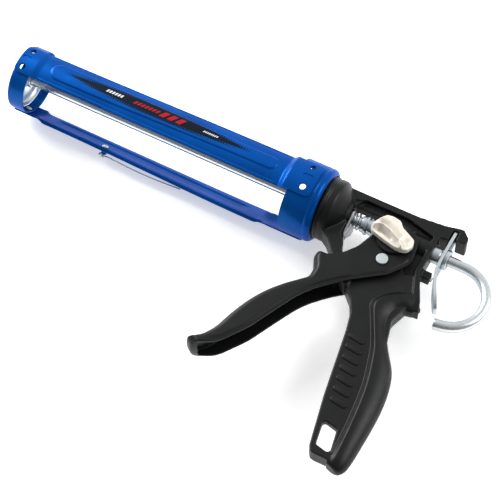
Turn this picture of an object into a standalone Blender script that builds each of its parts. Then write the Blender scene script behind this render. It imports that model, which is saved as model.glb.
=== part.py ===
"""Caulking gun with a swivelling half-open cradle, built as an assembly of separate pieces.

The shape functions work in gun coordinates, in millimetres: X runs rearward along the rod from the
front edge of the cradle, Y points to the gun's top (the grip hangs towards -Y) and Z to its left side.
The gun lies on its right side, so Z is up. One empty moves the whole gun so that the origin is at the
bottom centre of its box, and one empty sits on the axis of each moving body.
"""

import math

import bmesh
import bpy
from mathutils import Matrix, Vector

MM = 0.001
CLEARANCE = 0.3          # gap that separate pieces keep to each other
RIVET_R = 1.5

# Cradle: two rings, a tray above and a strut below. Angles turn from +Z towards -Y.
FRONT_RING_R = 26.3
FRONT_RING_END = 15.0
REAR_RING_R = 30.0
REAR_RING_START = 245.6
REAR_RING_END = 271.5
RING_WALL = 1.2
LIP_R = 25.9             # opening of the rear ring's rolled lip
FRONT_HOLE_R = 20.5
SHEET = 1.0              # thickness of the tray and the strut
TRAY_ANGLE = -2.0
TAB_ANGLE = -1.0
TRAY_HALF_ANGLE = 31.0
TAB_HALF_ANGLE = 30.0
TAB_HOLE_ANGLE = 18.0
TAB_HOLE_R = 2.6
STRUT_ANGLE = 147.0
STRUT_FLANGE = 2.6
BEAD = 0.8
FRONT_RIVET_X = 10.5
REAR_RIVET_X = 256.0

# Rod, piston and hook
ROD_R = 4.3
ROD_START = 2.6
HOOK_X = 389.5
HOOK_R = 27.2
HOOK_SWEEP = 172.0
HOOK_TAIL = 5.0
PISTON_R = 23.4
PISTON_X = 2.2

# Handle frame: outline positions of its main features
BELL_R = 25.4
BELL_START = 271.8
BOSS_END = 293.8
SPIGOT_R = 12.0
SPIGOT_START = 262.0
BEAM_TOP = 21.0
BEAM_HALF = 8.5
WEB_HALF = 4.0
FLAT_HALF = 6.5
SWELL_HALF = 10.5
HOUSING_R = 9.0
WINDOW_TOP = 9.5
HEEL_TAPER = ((8.7, -41.0), (12.0, -41.0), (12.0, -60.0), (4.2, -60.0), (4.8, -56.0), (6.2, -52.0), (7.8, -46.5))
SWELL_STRIP = 4.8        # width of the slanted strip beside the palm swell

# Trigger and selector knob
PIVOT = (333.2, -28.8)
PIN_R = 3.0
PIN_HEAD_R = 4.6
CHEEK_IN = 9.4
CHEEK_OUT = 11.3
KNOB = (333.5, -9.0)
KNOB_BASE_R = 13.0
SHAFT_R = 2.4
ROLLER_R = 3.6

# Clutch: sleeve and drive plates ahead of the roller, spring ahead of the sleeve
PLATE_THICK = 2.0
DRIVE_PLATE_X = (325.2, 327.5)
SLEEVE_START = 303.0
SLEEVE_END = 324.9
SLEEVE_R = 6.5
SPRING_START = 281.3
SPRING_R = 6.2
WIRE_R = 0.6

# Release plate, hinged in the slot at the rear end of the beam
RELEASE_X = 370.7
RELEASE_THICK = 2.3
RELEASE_TOP = 21.7
RELEASE_BORE_R = 4.8
SLOT_TOP = 22.0

# Seal needle on the strut
NEEDLE_X = 85.5
NEEDLE_S = -5.6
NEEDLE_R = 33.2

# Where the middle and the lowest point of the whole gun lie, in gun coordinates
CENTRE_X = 210.46
TOP_Y = REAR_RING_R
BOTTOM_Y = -198.0
LOWEST_Z = -32.182

COLOURS = {
    "blue": ((0.010, 0.115, 0.62), 0.22, 0.55),
    "black": ((0.018, 0.018, 0.020), 0.48, 0.0),
    "steel": ((0.62, 0.66, 0.70), 0.24, 1.0),
    "spring": ((0.55, 0.57, 0.58), 0.30, 1.0),
    "white_metal": ((0.80, 0.82, 0.83), 0.35, 0.6),
    "ivory": ((0.62, 0.57, 0.50), 0.38, 0.0),
    "dark_steel": ((0.10, 0.10, 0.11), 0.42, 0.8),
}


def clear_scene():
    for obj in list(bpy.data.objects):
        bpy.data.objects.remove(obj, do_unlink=True)


def new_collection(name):
    collection = bpy.data.collections.new(name)
    bpy.context.scene.collection.children.link(collection)
    return collection


def metres(point):
    return Vector(point) * MM


def barrel(x, angle, radius):
    """A point on the barrel: the angle turns from +Z towards -Y."""
    a = math.radians(angle)
    return (x, -radius * math.sin(a), radius * math.cos(a))


# ---------------------------------------------------------------- shape helpers

def link(obj, collection=None):
    (collection or PARTS).objects.link(obj)
    return obj


def from_bmesh(name, mesh_data):
    bmesh.ops.recalc_face_normals(mesh_data, faces=mesh_data.faces)
    if mesh_data.calc_volume(signed=True) < 0.0:
        bmesh.ops.reverse_faces(mesh_data, faces=mesh_data.faces)
    mesh = bpy.data.meshes.new(name)
    mesh_data.to_mesh(mesh)
    mesh_data.free()
    return link(bpy.data.objects.new(name, mesh))


def bake(obj):
    """Turns a curve, or an object with modifiers, into a plain closed mesh object."""
    bpy.context.view_layer.update()
    graph = bpy.context.evaluated_depsgraph_get()
    mesh = bpy.data.meshes.new_from_object(obj.evaluated_get(graph))
    mesh.transform(obj.matrix_world)
    name = obj.name
    bpy.data.objects.remove(obj, do_unlink=True)
    shape = bmesh.new()
    shape.from_mesh(mesh)
    bpy.data.meshes.remove(mesh)
    bmesh.ops.remove_doubles(shape, verts=shape.verts, dist=1e-6)
    return from_bmesh(name, shape)


def rounded(corners, step=30.0):
    """The outline through (x, y) or (x, y, radius) corners, with an arc at each corner that has a radius."""
    outline = []
    count = len(corners)
    for i, corner in enumerate(corners):
        here = Vector(corner[:2])
        radius = corner[2] if len(corner) > 2 else 0.0
        before = (Vector(corners[i - 1][:2]) - here)
        after = (Vector(corners[(i + 1) % count][:2]) - here)
        if radius <= 0.0:
            outline.append(here)
            continue
        half = before.angle(after) / 2.0
        reach = min(radius / math.tan(half), 0.49 * before.length, 0.49 * after.length)
        radius = reach * math.tan(half)
        bisector = (before.normalized() + after.normalized()).normalized()
        middle = here + bisector * (radius / math.sin(half))
        start = here + before.normalized() * reach - middle
        turn = start.angle_signed(here + after.normalized() * reach - middle)
        pieces = max(2, math.ceil(abs(math.degrees(turn)) / step))
        for k in range(pieces + 1):
            a = -turn * k / pieces
            spun = (start.x * math.cos(a) - start.y * math.sin(a), start.x * math.sin(a) + start.y * math.cos(a))
            outline.append(middle + Vector(spun))
    return outline


def plate(name, corners, low, high, step=30.0):
    """A flat piece: a filled outline in the XY plane between two heights."""
    curve = bpy.data.curves.new(name, "CURVE")
    curve.dimensions = "2D"
    curve.fill_mode = "BOTH"
    curve.extrude = (high - low) / 2.0 * MM
    outline = rounded(corners, step)
    spline = curve.splines.new("POLY")
    spline.points.add(len(outline) - 1)
    for point, place in zip(spline.points, outline):
        point.co = (place.x * MM, place.y * MM, 0.0, 1.0)
    spline.use_cyclic_u = True
    obj = link(bpy.data.objects.new(name, curve))
    obj.location.z = (high + low) / 2.0 * MM
    return bake(obj)


def turned(name, profile, steps=32):
    """A turned piece on the rod's axis. The profile is a closed outline of (x, radius)."""
    shape = bmesh.new()
    verts = [shape.verts.new(metres((x, r, 0.0))) for x, r in profile]
    for i, vert in enumerate(verts):
        shape.edges.new((vert, verts[(i + 1) % len(verts)]))
    mesh = bpy.data.meshes.new(name)
    shape.to_mesh(mesh)
    shape.free()
    obj = link(bpy.data.objects.new(name, mesh))
    screw = obj.modifiers.new("turn", "SCREW")
    screw.axis = "X"
    screw.steps = screw.render_steps = steps
    screw.use_merge_vertices = True
    screw.merge_threshold = 0.00001
    return bake(obj)


def rod_between(name, start, end, radius, sides=20):
    """A round bar between two points."""
    a, b = metres(start), metres(end)
    bpy.ops.mesh.primitive_cylinder_add(vertices=sides, radius=radius * MM, depth=(b - a).length)
    obj = bpy.context.object
    obj.name = name
    for owner in list(obj.users_collection):
        owner.objects.unlink(obj)
    link(obj)
    turn = (b - a).to_track_quat("Z", "Y").to_matrix().to_4x4()
    obj.data.transform(Matrix.Translation((a + b) / 2.0) @ turn)
    return obj


def tube(name, points, radius, resolution=3):
    """A wire or bent bar through the points."""
    curve = bpy.data.curves.new(name, "CURVE")
    curve.dimensions = "3D"
    curve.bevel_depth = radius * MM
    curve.bevel_resolution = resolution
    curve.use_fill_caps = True
    spline = curve.splines.new("POLY")
    spline.points.add(len(points) - 1)
    for point, place in zip(spline.points, points):
        point.co = (*metres(place), 1.0)
    return bake(link(bpy.data.objects.new(name, curve)))


def sheet(name, rows, thickness, offset=0.0):
    """A sheet-metal piece: a grid of points made solid. The offset is 0 for a mid surface."""
    shape = bmesh.new()
    grid = [[shape.verts.new(metres(p)) for p in row] for row in rows]
    for a, b in zip(grid, grid[1:]):
        for i in range(len(a) - 1):
            shape.faces.new((a[i], a[i + 1], b[i + 1], b[i]))
    obj = from_bmesh(name, shape)
    solid = obj.modifiers.new("thickness", "SOLIDIFY")
    solid.thickness = thickness * MM
    solid.offset = offset
    solid.use_even_offset = True
    return bake(obj)


def loft(name, rings):
    """A closed body through rings that have the same number of points."""
    shape = bmesh.new()
    made = [[shape.verts.new(metres(p)) for p in ring] for ring in rings]
    for a, b in zip(made, made[1:]):
        for i in range(len(a)):
            j = (i + 1) % len(a)
            shape.faces.new((a[i], a[j], b[j], b[i]))
    shape.faces.new(made[0])
    shape.faces.new(made[-1])
    return from_bmesh(name, shape)


def combine(target, other, operation):
    """Adds an EXACT Boolean. The other shape goes to the cutters and moves with its target."""
    modifier = target.modifiers.new(operation.lower(), "BOOLEAN")
    modifier.operation = operation
    modifier.solver = "EXACT"
    modifier.object = other
    for owner in list(other.users_collection):
        owner.objects.unlink(other)
    CUTTERS.objects.link(other)
    other.parent = target
    other.hide_render = True
    other.display_type = "WIRE"
    return target


def cut(target, *others):
    for other in others:
        combine(target, other, "DIFFERENCE")
    return target


def join(target, *others):
    for other in others:
        combine(target, other, "UNION")
    return target


def smoothstep(value, low, high):
    t = min(1.0, max(0.0, (value - low) / (high - low)))
    return t * t * (3.0 - 2.0 * t)


# ---------------------------------------------------------------- assembly helpers

def material(key):
    name = "gun_" + key
    if name in bpy.data.materials:
        return bpy.data.materials[name]
    colour, roughness, metallic = COLOURS[key]
    made = bpy.data.materials.new(name)
    made.use_nodes = True
    shader = made.node_tree.nodes["Principled BSDF"]
    shader.inputs["Base Color"].default_value = (*colour, 1.0)
    shader.inputs["Roughness"].default_value = roughness
    shader.inputs["Metallic"].default_value = metallic
    return made


def empty(name, place, parent=None):
    """An empty at a point of the gun: the origin of a body, on its joint's axis."""
    obj = link(bpy.data.objects.new(name, None))
    obj.empty_display_size = 0.02
    at = metres(place)
    if parent is not None:
        obj.parent = parent
        at = at - metres(parent["place"])
    obj.location = at
    obj["place"] = place
    return obj


def node(obj, name, key, body):
    """Names a finished piece, gives it its material and hangs it on its body's empty."""
    obj.name = name
    obj.data.name = name
    obj.data.materials.clear()
    own = material(key).copy()
    own.name = name + "_" + key
    obj.data.materials.append(own)
    obj.parent = body
    obj.location = -metres(body["place"])
    obj.data.shade_smooth()
    obj.data.set_sharp_from_angle(angle=math.radians(35.0))
    return obj


# ---------------------------------------------------------------- cradle

def front_ring():
    inner = FRONT_RING_R - RING_WALL
    ring = turned("front_ring", [
        (FRONT_RING_END, FRONT_RING_R), (1.6, FRONT_RING_R), (0.5, FRONT_RING_R - 0.5),
        (0.0, FRONT_RING_R - 1.6), (0.0, FRONT_HOLE_R), (RING_WALL, FRONT_HOLE_R),
        (RING_WALL, inner - 0.6), (RING_WALL + 0.6, inner), (FRONT_RING_END, inner),
    ])
    return cut(ring, rivet_hole(FRONT_RIVET_X, 0.0), *hole_cutters(6.8, FRONT_RING_R))


def rear_ring():
    inner = REAR_RING_R - RING_WALL
    bend = 4.0
    profile = [(REAR_RING_START, inner), (REAR_RING_START, REAR_RING_R)]
    profile += arc_profile(REAR_RING_END - bend, REAR_RING_R - bend, bend, 90.0, 0.0, 3)
    profile += [(REAR_RING_END, LIP_R), (REAR_RING_END - RING_WALL, LIP_R)]
    profile += arc_profile(REAR_RING_END - bend, REAR_RING_R - bend, bend - RING_WALL, 0.0, 90.0, 3)
    return cut(turned("rear_ring", profile), rivet_hole(REAR_RIVET_X, 0.0), *hole_cutters(256.0, REAR_RING_R))


def arc_profile(x, r, radius, start, end, pieces):
    """Profile points on an arc about (x, r): 90 degrees points outward and 0 to the rear."""
    angles = [math.radians(start + (end - start) * k / pieces) for k in range(pieces + 1)]
    return [(x + radius * math.cos(a), r + radius * math.sin(a)) for a in angles]


def hole_cutters(x, radius):
    """The two round holes that go through a ring and the tray's tab on it."""
    cutters = []
    for side in (-1, 1):
        angle = TAB_ANGLE + side * TAB_HOLE_ANGLE
        ends = [barrel(x, angle, radius - 6.0), barrel(x, angle, radius + 6.0)]
        cutters.append(rod_between("hole_cutter", *ends, TAB_HOLE_R, 16))
    return cutters


def tray_radius(x):
    """Mid-surface radius: over the front ring, down to the trough, and up over the rear ring."""
    front = FRONT_RING_R + CLEARANCE + SHEET / 2.0
    rear = REAR_RING_R + CLEARANCE + SHEET / 2.0
    trough = 26.3 + 1.3 * smoothstep(x, 22.0, 230.0)
    radius = front + (trough - front) * smoothstep(x, 16.0, 22.5)
    return radius + (rear - radius) * smoothstep(x, 237.0, 243.0)


def tray_half_angle(x):
    body = TRAY_HALF_ANGLE + 2.0 * smoothstep(x, 22.0, 230.0)
    neck = TAB_HALF_ANGLE + (body - TAB_HALF_ANGLE) * smoothstep(x, 16.0, 24.0)
    return neck + (TAB_HALF_ANGLE - neck) * smoothstep(x, 236.0, 244.0)


def panel_rise(x, angle):
    """The long raised panel on the tray, with round ends."""
    half = 17.0 - 5.0 * smoothstep(x, 60.0, 228.0)
    across = 1.0 - smoothstep(abs(angle + 0.5), half - 2.5, half)
    along = smoothstep(x, 29.0, 35.0) * (1.0 - smoothstep(x, 222.0, 229.0))
    return 0.7 * across * along


def tray():
    stations = [1.0, 4.0, 16.0, 19.0, 22.5, 29.0, 35.0, 60.0, 110.0, 170.0,
                222.0, 229.0, 237.0, 240.0, 243.0, 260.0, 264.0]
    steps = 10
    rows = []
    for x in stations:
        half = tray_half_angle(x)
        corner = 3.5 * (smoothstep(x, 260.0, 264.0) + 1.0 - smoothstep(x, 1.0, 4.0))
        body = smoothstep(x, 16.0, 24.0) * (1.0 - smoothstep(x, 236.0, 244.0))
        centre = TAB_ANGLE + (TRAY_ANGLE - TAB_ANGLE) * body
        angles = [centre + (half - corner) * (2.0 * k / steps - 1.0) for k in range(steps + 1)]
        rows.append([barrel(x, a, tray_radius(x) + panel_rise(x, a)) for a in angles])
    trough = sheet("tray", rows, SHEET)
    cut(trough, *hole_cutters(6.8, FRONT_RING_R))
    return cut(trough, *hole_cutters(256.0, REAR_RING_R))


def strut_point(x, along_width, radius, wrap):
    """A point of the strut: flat across its width, or wrapped round the barrel where wrap is 1."""
    a = math.radians(STRUT_ANGLE)
    outward = Vector((0.0, -math.sin(a), math.cos(a)))
    across = Vector((0.0, -math.cos(a), -math.sin(a)))
    flat = Vector((x, 0.0, 0.0)) + outward * radius + across * along_width
    curved = Vector(barrel(x, STRUT_ANGLE + math.degrees(along_width / radius), radius))
    return flat.lerp(curved, wrap)


def strut():
    front = FRONT_RING_R + CLEARANCE
    rear = REAR_RING_R + CLEARANCE
    stations = [1.2, 20.0, 23.0, 26.0, 30.0, 34.0, 42.0, 120.0, 208.0,
                216.0, 224.0, 228.0, 231.0, 235.0, 263.5]
    rows = []
    for x in stations:
        bar = 25.8 + 2.4 * smoothstep(x, 30.0, 224.0)
        radius = front + (bar - front) * smoothstep(x, 20.0, 26.0)
        radius += (rear - radius) * smoothstep(x, 225.0, 235.0)
        folded = smoothstep(x, 22.0, 30.0) * (1.0 - smoothstep(x, 222.0, 234.0))
        half = 8.8 + 2.9 * smoothstep(x, 28.0, 226.0)
        edge = 9.6 + 2.0 * smoothstep(x, 28.0, 226.0)
        bead = smoothstep(x, 34.0, 42.0) * (1.0 - smoothstep(x, 208.0, 216.0))
        row = []
        for side in (-1, 1):
            arms = [(half, STRUT_FLANGE), (half, 1.5), (half - 0.45, 0.45), (half - 1.5, 0.0), (4.6, 0.0), (3.4, BEAD)]
            flat = [edge, edge - 1.0, edge - 2.0, edge - 3.0, 4.6, 3.4]
            points = []
            for (s, lift), wide in zip(arms, flat):
                rise = lift * (bead if s < 4.0 else folded)
                width = wide + (s - wide) * folded
                points.append(strut_point(x, side * width, radius + rise, 1.0 - folded))
            row += points if side < 0 else points[::-1]
        rows.append(row)
    places = ((FRONT_RIVET_X, 0.0), (REAR_RIVET_X, 0.0), (NEEDLE_X, NEEDLE_S))
    return cut(sheet("strut", rows, SHEET, 1.0), *[rivet_hole(*place) for place in places])


def rivet(name, x, along_width, inner, outer, thick=0.9):
    """A rivet square to the strut: its heads lie just inside one radius and just outside another."""
    base, direction = strut_axis(x, along_width)
    shank = rod_between(name, base + direction * (inner - 0.5), base + direction * (outer + 0.5), RIVET_R, 12)
    head = rod_between(name + "_head", base + direction * (inner - thick), base + direction * inner, 2.6, 16)
    foot = rod_between(name + "_foot", base + direction * outer, base + direction * (outer + thick), 2.6, 16)
    return join(shank, head, foot)


def strut_rivet(name, x, ring_radius):
    """A rivet that holds the strut to a ring."""
    inner = ring_radius - RING_WALL - CLEARANCE - 0.2
    return rivet(name, x, 0.0, inner, ring_radius + CLEARANCE + SHEET + CLEARANCE)


def rivet_hole(x, along_width):
    """The hole through the strut, and through a ring where one lies there, for a rivet."""
    base, direction = strut_axis(x, along_width)
    return rod_between("rivet_hole", base + direction * 20.0, base + direction * 36.0, RIVET_R + CLEARANCE, 12)


def strut_axis(x, along_width):
    """A foot point on the rod's axis and the direction in which it leaves through the strut."""
    a = math.radians(STRUT_ANGLE)
    outward = Vector((0.0, -math.sin(a), math.cos(a)))
    across = Vector((0.0, -math.cos(a), -math.sin(a)))
    return Vector((x, 0.0, 0.0)) + across * along_width, outward


def seal_needle():
    """The wire that pierces a cartridge's seal: an eye round its rivet and a bowed leg along the strut."""
    eye = [needle_place(NEEDLE_X + 3.3 * math.cos(a), NEEDLE_S + 3.3 * math.sin(a))
           for a in [math.radians(60.0 + 30.0 * k) for k in range(10)]]
    leg = []
    for k in range(13):
        t = k / 12.0
        leg.append(needle_place(NEEDLE_X + 5.0 + 66.0 * t, NEEDLE_S - 1.2 - 2.8 * math.sin(math.pi * t)))
    return tube("seal_needle", eye + leg, 0.75, 2)


def needle_place(x, along_width):
    return strut_point(x, along_width, NEEDLE_R, 0.0)


def needle_spacer():
    """The blue post between the strut and the needle's eye."""
    base, direction = strut_axis(NEEDLE_X, NEEDLE_S)
    post = rod_between("needle_spacer", base + direction * 28.5, base + direction * 32.1, 2.2, 16)
    return cut(post, rivet_hole(NEEDLE_X, NEEDLE_S))


# ---------------------------------------------------------------- handle frame

def bell():
    """The turned front of the handle: spigot, thrust flange, cone and the boss round the spring."""
    profile = [(SPIGOT_START, SPIGOT_R), (SPIGOT_START, ROD_R), (BOSS_END, ROD_R), (BOSS_END, 9.8),
               (BOSS_END - 0.8, 10.6), (291.2, 12.4), (290.0, 14.8), (284.2, 22.0), (282.4, 24.2), (280.2, 25.2),
               (276.2, 25.2), (275.6, 24.6), (274.8, 24.6), (274.4, BELL_R), (BELL_START, BELL_R),
               (BELL_START, SPIGOT_R)]
    return turned("handle_frame", profile)


def grip_swell():
    """The palm side of the grip: a slanted strip up from the flat side, then half an ellipse to the rear edge."""
    stations = [((367.1, -44.1), (376.0, -50.0), 8.3), ((360.5, -47.8), (372.0, -55.8), 9.0),
                ((354.4, -51.7), (366.5, -57.6), 9.6), ((349.2, -56.5), (362.6, -60.4), 10.2),
                ((345.8, -62.5), (361.0, -66.4), SWELL_HALF), ((346.3, -68.2), (361.1, -73.5), SWELL_HALF),
                ((349.5, -75.3), (363.8, -82.5), SWELL_HALF), ((355.0, -86.0), (370.6, -93.5), SWELL_HALF),
                ((361.3, -99.0), (379.6, -107.0), SWELL_HALF), ((366.0, -114.0), (384.0, -121.0), SWELL_HALF),
                ((369.8, -130.0), (386.2, -137.0), SWELL_HALF), ((372.2, -148.0), (386.6, -154.0), SWELL_HALF),
                ((373.6, -165.0), (386.2, -170.0), 10.2), ((374.3, -180.0), (385.6, -184.0), 9.4),
                ((374.6, -189.6), (384.4, -192.4), 8.2), ((374.4, -194.4), (381.6, -197.0), 6.4),
                ((374.2, -196.6), (378.4, -198.0), 4.4)]
    rings = []
    for edge, rear, half in stations:
        edge, rear = Vector(edge), Vector(rear)
        foot = edge + (edge - rear).normalized() * SWELL_STRIP
        low = min(5.9, half - 0.4)
        ring = [(*foot, -low), (*foot, low)]
        for k in range(9):
            a = math.radians(180.0 * k / 8.0)
            ring.append((*edge.lerp(rear, math.sin(a)), half * math.cos(a)))
        rings.append(ring)
    return loft("grip_swell", rings)


def handle_frame():
    """One moulding: bell, beam, web, rear flange with its tooth and lug, front leg, rod housing and grip."""
    frame = bell()
    beam = plate("beam", [(279.0, 12.0), (279.0, BEAM_TOP), (340.0, BEAM_TOP - 0.4), (362.0, 22.6),
                          (373.5, 25.3, 2.0), (376.8, 25.7, 1.5), (382.6, 20.0, 1.5), (383.2, 14.2, 1.5),
                          (374.5, 14.3), (374.5, SLOT_TOP),
                          (369.3, SLOT_TOP), (369.3, 12.0), (362.8, 11.0), (362.8, 2.0), (358.6, 2.0), (358.6, 9.0),
                          (335.0, 15.2), (300.0, 15.6), (291.0, 12.0)], -BEAM_HALF, BEAM_HALF)
    rear_flange = plate("rear_flange", [(358.8, 4.0), (358.8, -25.0, 10.0), (364.5, -40.0), (368.0, -50.0),
                                        (367.6, -55.2), (375.9, -54.6), (373.3, -46.5), (368.4, -36.5),
                                        (362.9, -24.0, 10.0), (362.9, 4.0)], -BEAM_HALF, BEAM_HALF)
    cut(rear_flange, *[standing("heel_cutter", [(side * z, y) for z, y in HEEL_TAPER], 350.0, 40.0)
                       for side in (-1, 1)])
    web = plate("web", [(286.0, WINDOW_TOP), (286.0, 18.0), (360.0, 18.0), (360.0, -26.0), (368.0, -44.0),
                        (372.0, -56.0), (352.0, -60.0), (338.0, -46.0), (338.0, -20.0), (343.0, -14.0),
                        (343.0, WINDOW_TOP)], -WEB_HALF, WEB_HALF)
    leg = plate("leg", [(277.0, -12.0), (277.0, -22.0), (286.9, -28.3), (296.5, -39.0), (311.0, -57.0),
                        (320.0, -60.0), (318.0, -42.0), (304.5, -38.5), (300.6, -26.0, 3.0), (295.4, -20.6, 3.0),
                        (295.4, -9.0), (286.0, -6.0)], -8.0, 8.0)
    root = plate("root", [(303.0, -39.5), (318.0, -38.0), (323.0, -25.0, 4.0), (329.0, -20.5, 3.0),
                          (342.0, -20.5, 3.0), (352.0, -30.0), (360.0, -27.0), (368.0, -46.0), (366.0, -56.0, 6.0),
                          (361.4, -70.0, 8.0), (366.0, -88.0, 20.0), (380.0, -112.0, 20.0), (384.0, -150.0, 40.0),
                          (380.0, -196.6, 5.0), (373.0, -193.8), (369.2, -193.2), (359.2, -193.3, 2.0),
                          (356.0, -192.6, 2.0), (353.4, -188.5, 3.0), (344.6, -148.0, 60.0),
                          (335.2, -94.0, 30.0), (331.5, -78.5, 10.0), (326.0, -68.0, 6.0), (318.5, -60.5)],
                 -FLAT_HALF, FLAT_HALF)
    boss = rod_between("boss", (*PIVOT, -8.9), (*PIVOT, 8.9), 7.0)
    housing = rod_between("housing", (341.0, 0.0, 0.0), (363.0, 0.0, 0.0), HOUSING_R)
    lug = plate("lug", [(361.0, -17.6), (370.3, -17.6), (370.3, -24.6), (361.0, -24.6)], -4.0, 4.0)
    join(frame, beam, web, rear_flange, root, leg, boss, housing, lug, grip_swell())
    cut(frame, *frame_cutters())
    return frame


def frame_cutters():
    bore = rod_between("rod_bore", (330.0, 0.0, 0.0), (366.0, 0.0, 0.0), 6.6 + CLEARANCE)
    front_bore = turned("front_bore", [(255.0, 0.0), (255.0, 7.1), (280.2, 7.1), (280.2, 7.8), (300.0, 7.8),
                                       (300.0, 0.0)], 24)
    window = plate("window", [(294.5, -20.6, 3.0), (300.0, -26.0, 3.0), (301.7, -32.4, 3.0), (304.0, -35.6, 1.5),
                              (316.0, -34.6, 1.5), (321.0, -24.0, 4.0), (327.0, -18.6, 3.0),
                              (341.8, -18.6, 3.0), (341.8, WINDOW_TOP), (294.5, WINDOW_TOP)], -15.0, 15.0)
    pin_bore = rod_between("pin_bore", (*PIVOT, -15.0), (*PIVOT, 15.0), PIN_R + CLEARANCE)
    spring_pocket = rod_between("spring_pocket", (364.0, -21.1, 0.0), (375.0, -21.1, 0.0), 2.6, 16)
    hanging_hole = plate("hanging_hole", [(353.5, -166.1, 2.3), (365.3, -168.7, 2.3), (369.2, -188.5, 2.3),
                                          (357.0, -185.9, 2.3)], -15.0, 15.0)
    hanging_pocket = plate("hanging_pocket", [(351.6, -161.5, 4.0), (364.8, -164.4, 4.0), (370.0, -190.0, 4.0),
                                              (355.4, -187.4, 4.0)], -15.0, 0.5)
    return [bore, front_bore, window, pin_bore, spring_pocket, hanging_hole, hanging_pocket]


def grip_pads():
    """The slanted round-ended pads moulded on the grip's left face."""
    pads = []
    for k in range(7):
        x, y = 338.3 + 1.92 * k, -95.2 - 8.83 * k
        pad = plate("pad", [(x - 0.5, y - 2.5, 2.2), (x + 13.0, y - 4.4, 2.2), (x + 14.4, y + 0.2, 2.2),
                            (x + 0.9, y + 2.3, 2.2)], FLAT_HALF - 0.5, FLAT_HALF + 0.6, 45.0)
        pads.append(pad)
    return pads


def bush(name, start, end, outer, inner):
    return turned(name, [(start, inner), (start, outer), (end, outer), (end, inner)], 24)


def retaining_plate():
    """The disc behind the rear ring's lip that keeps the cradle on the handle."""
    outer = REAR_RING_R - RING_WALL - 2 * CLEARANCE
    disc = turned("retaining_plate", [(268.1, SPIGOT_R + CLEARANCE), (268.1, outer - 1.4), (268.9, outer - 1.4),
                                      (269.9, 26.6), (269.9, SPIGOT_R + CLEARANCE)])
    return disc


def trigger_outline():
    """The lever's side view: its front edge from the tip up, the lobe under the knob, and its rear edge."""
    front = [(234.6, -154.2, 1.5), (243.6, -147.6, 8.0), (249.0, -138.0, 12.0), (252.8, -124.0, 30.0),
             (257.3, -110.0, 30.0), (265.5, -94.0, 30.0), (275.8, -80.4, 20.0), (290.6, -65.6, 6.0),
             (290.6, -58.0, 8.0), (286.0, -48.5, 6.0), (286.6, -41.0, 3.5), (294.5, -41.2, 3.0),
             (304.8, -36.4, 8.0), (311.8, -26.2, 20.0), (317.0, -11.0, 6.0)]
    lobe = [(318.0, 5.5, 15.0), (350.5, 6.5, 16.0)]
    rear = [(354.0, -22.0, 12.0), (342.5, -38.5, 20.0), (327.6, -49.4, 20.0), (304.0, -70.8, 30.0),
            (293.0, -83.0, 20.0), (284.5, -100.0, 30.0), (272.0, -127.0, 20.0), (258.0, -149.5, 20.0),
            (241.0, -158.6, 4.0)]
    return front + lobe + rear


def trigger():
    """A channel lever, open towards the grip, whose two cheeks straddle the handle frame."""
    lever = plate("trigger", trigger_outline(), -CHEEK_OUT, CHEEK_OUT)
    inside = plate("trigger_inside", [(240.6, -153.6), (247.0, -147.4, 8.0), (251.6, -138.6, 10.0),
                                      (255.2, -124.0, 30.0), (259.6, -110.0, 30.0), (267.6, -95.2, 30.0),
                                      (277.4, -82.0, 20.0), (293.4, -66.2, 5.0), (293.2, -57.0, 8.0),
                                      (288.8, -48.0, 5.0), (288.8, -43.2), (280.0, -36.0), (290.0, 20.0),
                                      (370.0, 20.0), (370.0, -60.0), (300.0, -90.0), (262.0, -160.0),
                                      (244.0, -155.6)], -CHEEK_IN, CHEEK_IN)
    bore = rod_between("trigger_bore", (*PIVOT, -15.0), (*PIVOT, 15.0), PIN_R + CLEARANCE)
    shaft_bore = rod_between("selector_bore", (*KNOB, -15.0), (*KNOB, 15.0), SHAFT_R + CLEARANCE)
    return cut(lever, inside, bore, shaft_bore)


def trigger_pin():
    shank = rod_between("trigger_pin", (*PIVOT, -13.2), (*PIVOT, 12.0), PIN_R)
    head = rod_between("pin_head", (*PIVOT, CHEEK_OUT + CLEARANCE), (*PIVOT, CHEEK_OUT + 1.3), PIN_HEAD_R)
    groove = turned("groove", [(0.0, 2.4), (0.0, 4.0), (0.9, 4.0), (0.9, 2.4)], 16)
    groove.data.transform(Matrix.Rotation(math.radians(90.0), 4, "Y"))
    groove.data.transform(Matrix.Translation(metres((*PIVOT, -11.7))))
    return cut(join(shank, head), groove)


def pin_clip():
    """The retaining clip in the groove at the pin's far end."""
    clip = rod_between("pin_clip", (*PIVOT, -12.5), (*PIVOT, -11.8), 5.0)
    bore = rod_between("clip_bore", (*PIVOT, -14.0), (*PIVOT, -10.0), PIN_R + 0.15)
    gap = plate("clip_gap", [(PIVOT[0] - 1.6, PIVOT[1]), (PIVOT[0] + 1.6, PIVOT[1]),
                             (PIVOT[0] + 1.6, PIVOT[1] - 8.0), (PIVOT[0] - 1.6, PIVOT[1] - 8.0)], -14.0, -10.0)
    return cut(clip, bore, gap)


def selector_knob():
    """The cream thumb wing with a ridge along its middle and a finger hollow beside it."""
    wing = plate("selector_knob", knob_outline(), CHEEK_OUT + 2.6, CHEEK_OUT + 7.4)
    ridge = plate("knob_ridge", [(318.4, -8.0, 2.0), (322.6, -1.4, 2.0), (332.8, -6.4, 6.0), (347.4, -11.4, 2.5),
                                 (345.4, -16.0, 2.5), (333.0, -13.6, 6.0)], CHEEK_OUT + 7.0, CHEEK_OUT + 11.6)
    return join(wing, ridge)


def knob_outline():
    return [(315.4, -10.4, 2.5), (319.8, 0.8, 3.0), (324.6, 3.4, 3.0), (334.0, 0.8, 8.0), (341.4, -6.0, 8.0),
            (350.6, -9.2, 4.5), (350.4, -15.6, 4.5), (344.0, -19.4, 5.0), (332.0, -18.6, 12.0),
            (318.6, -15.2, 4.0)]


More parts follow.
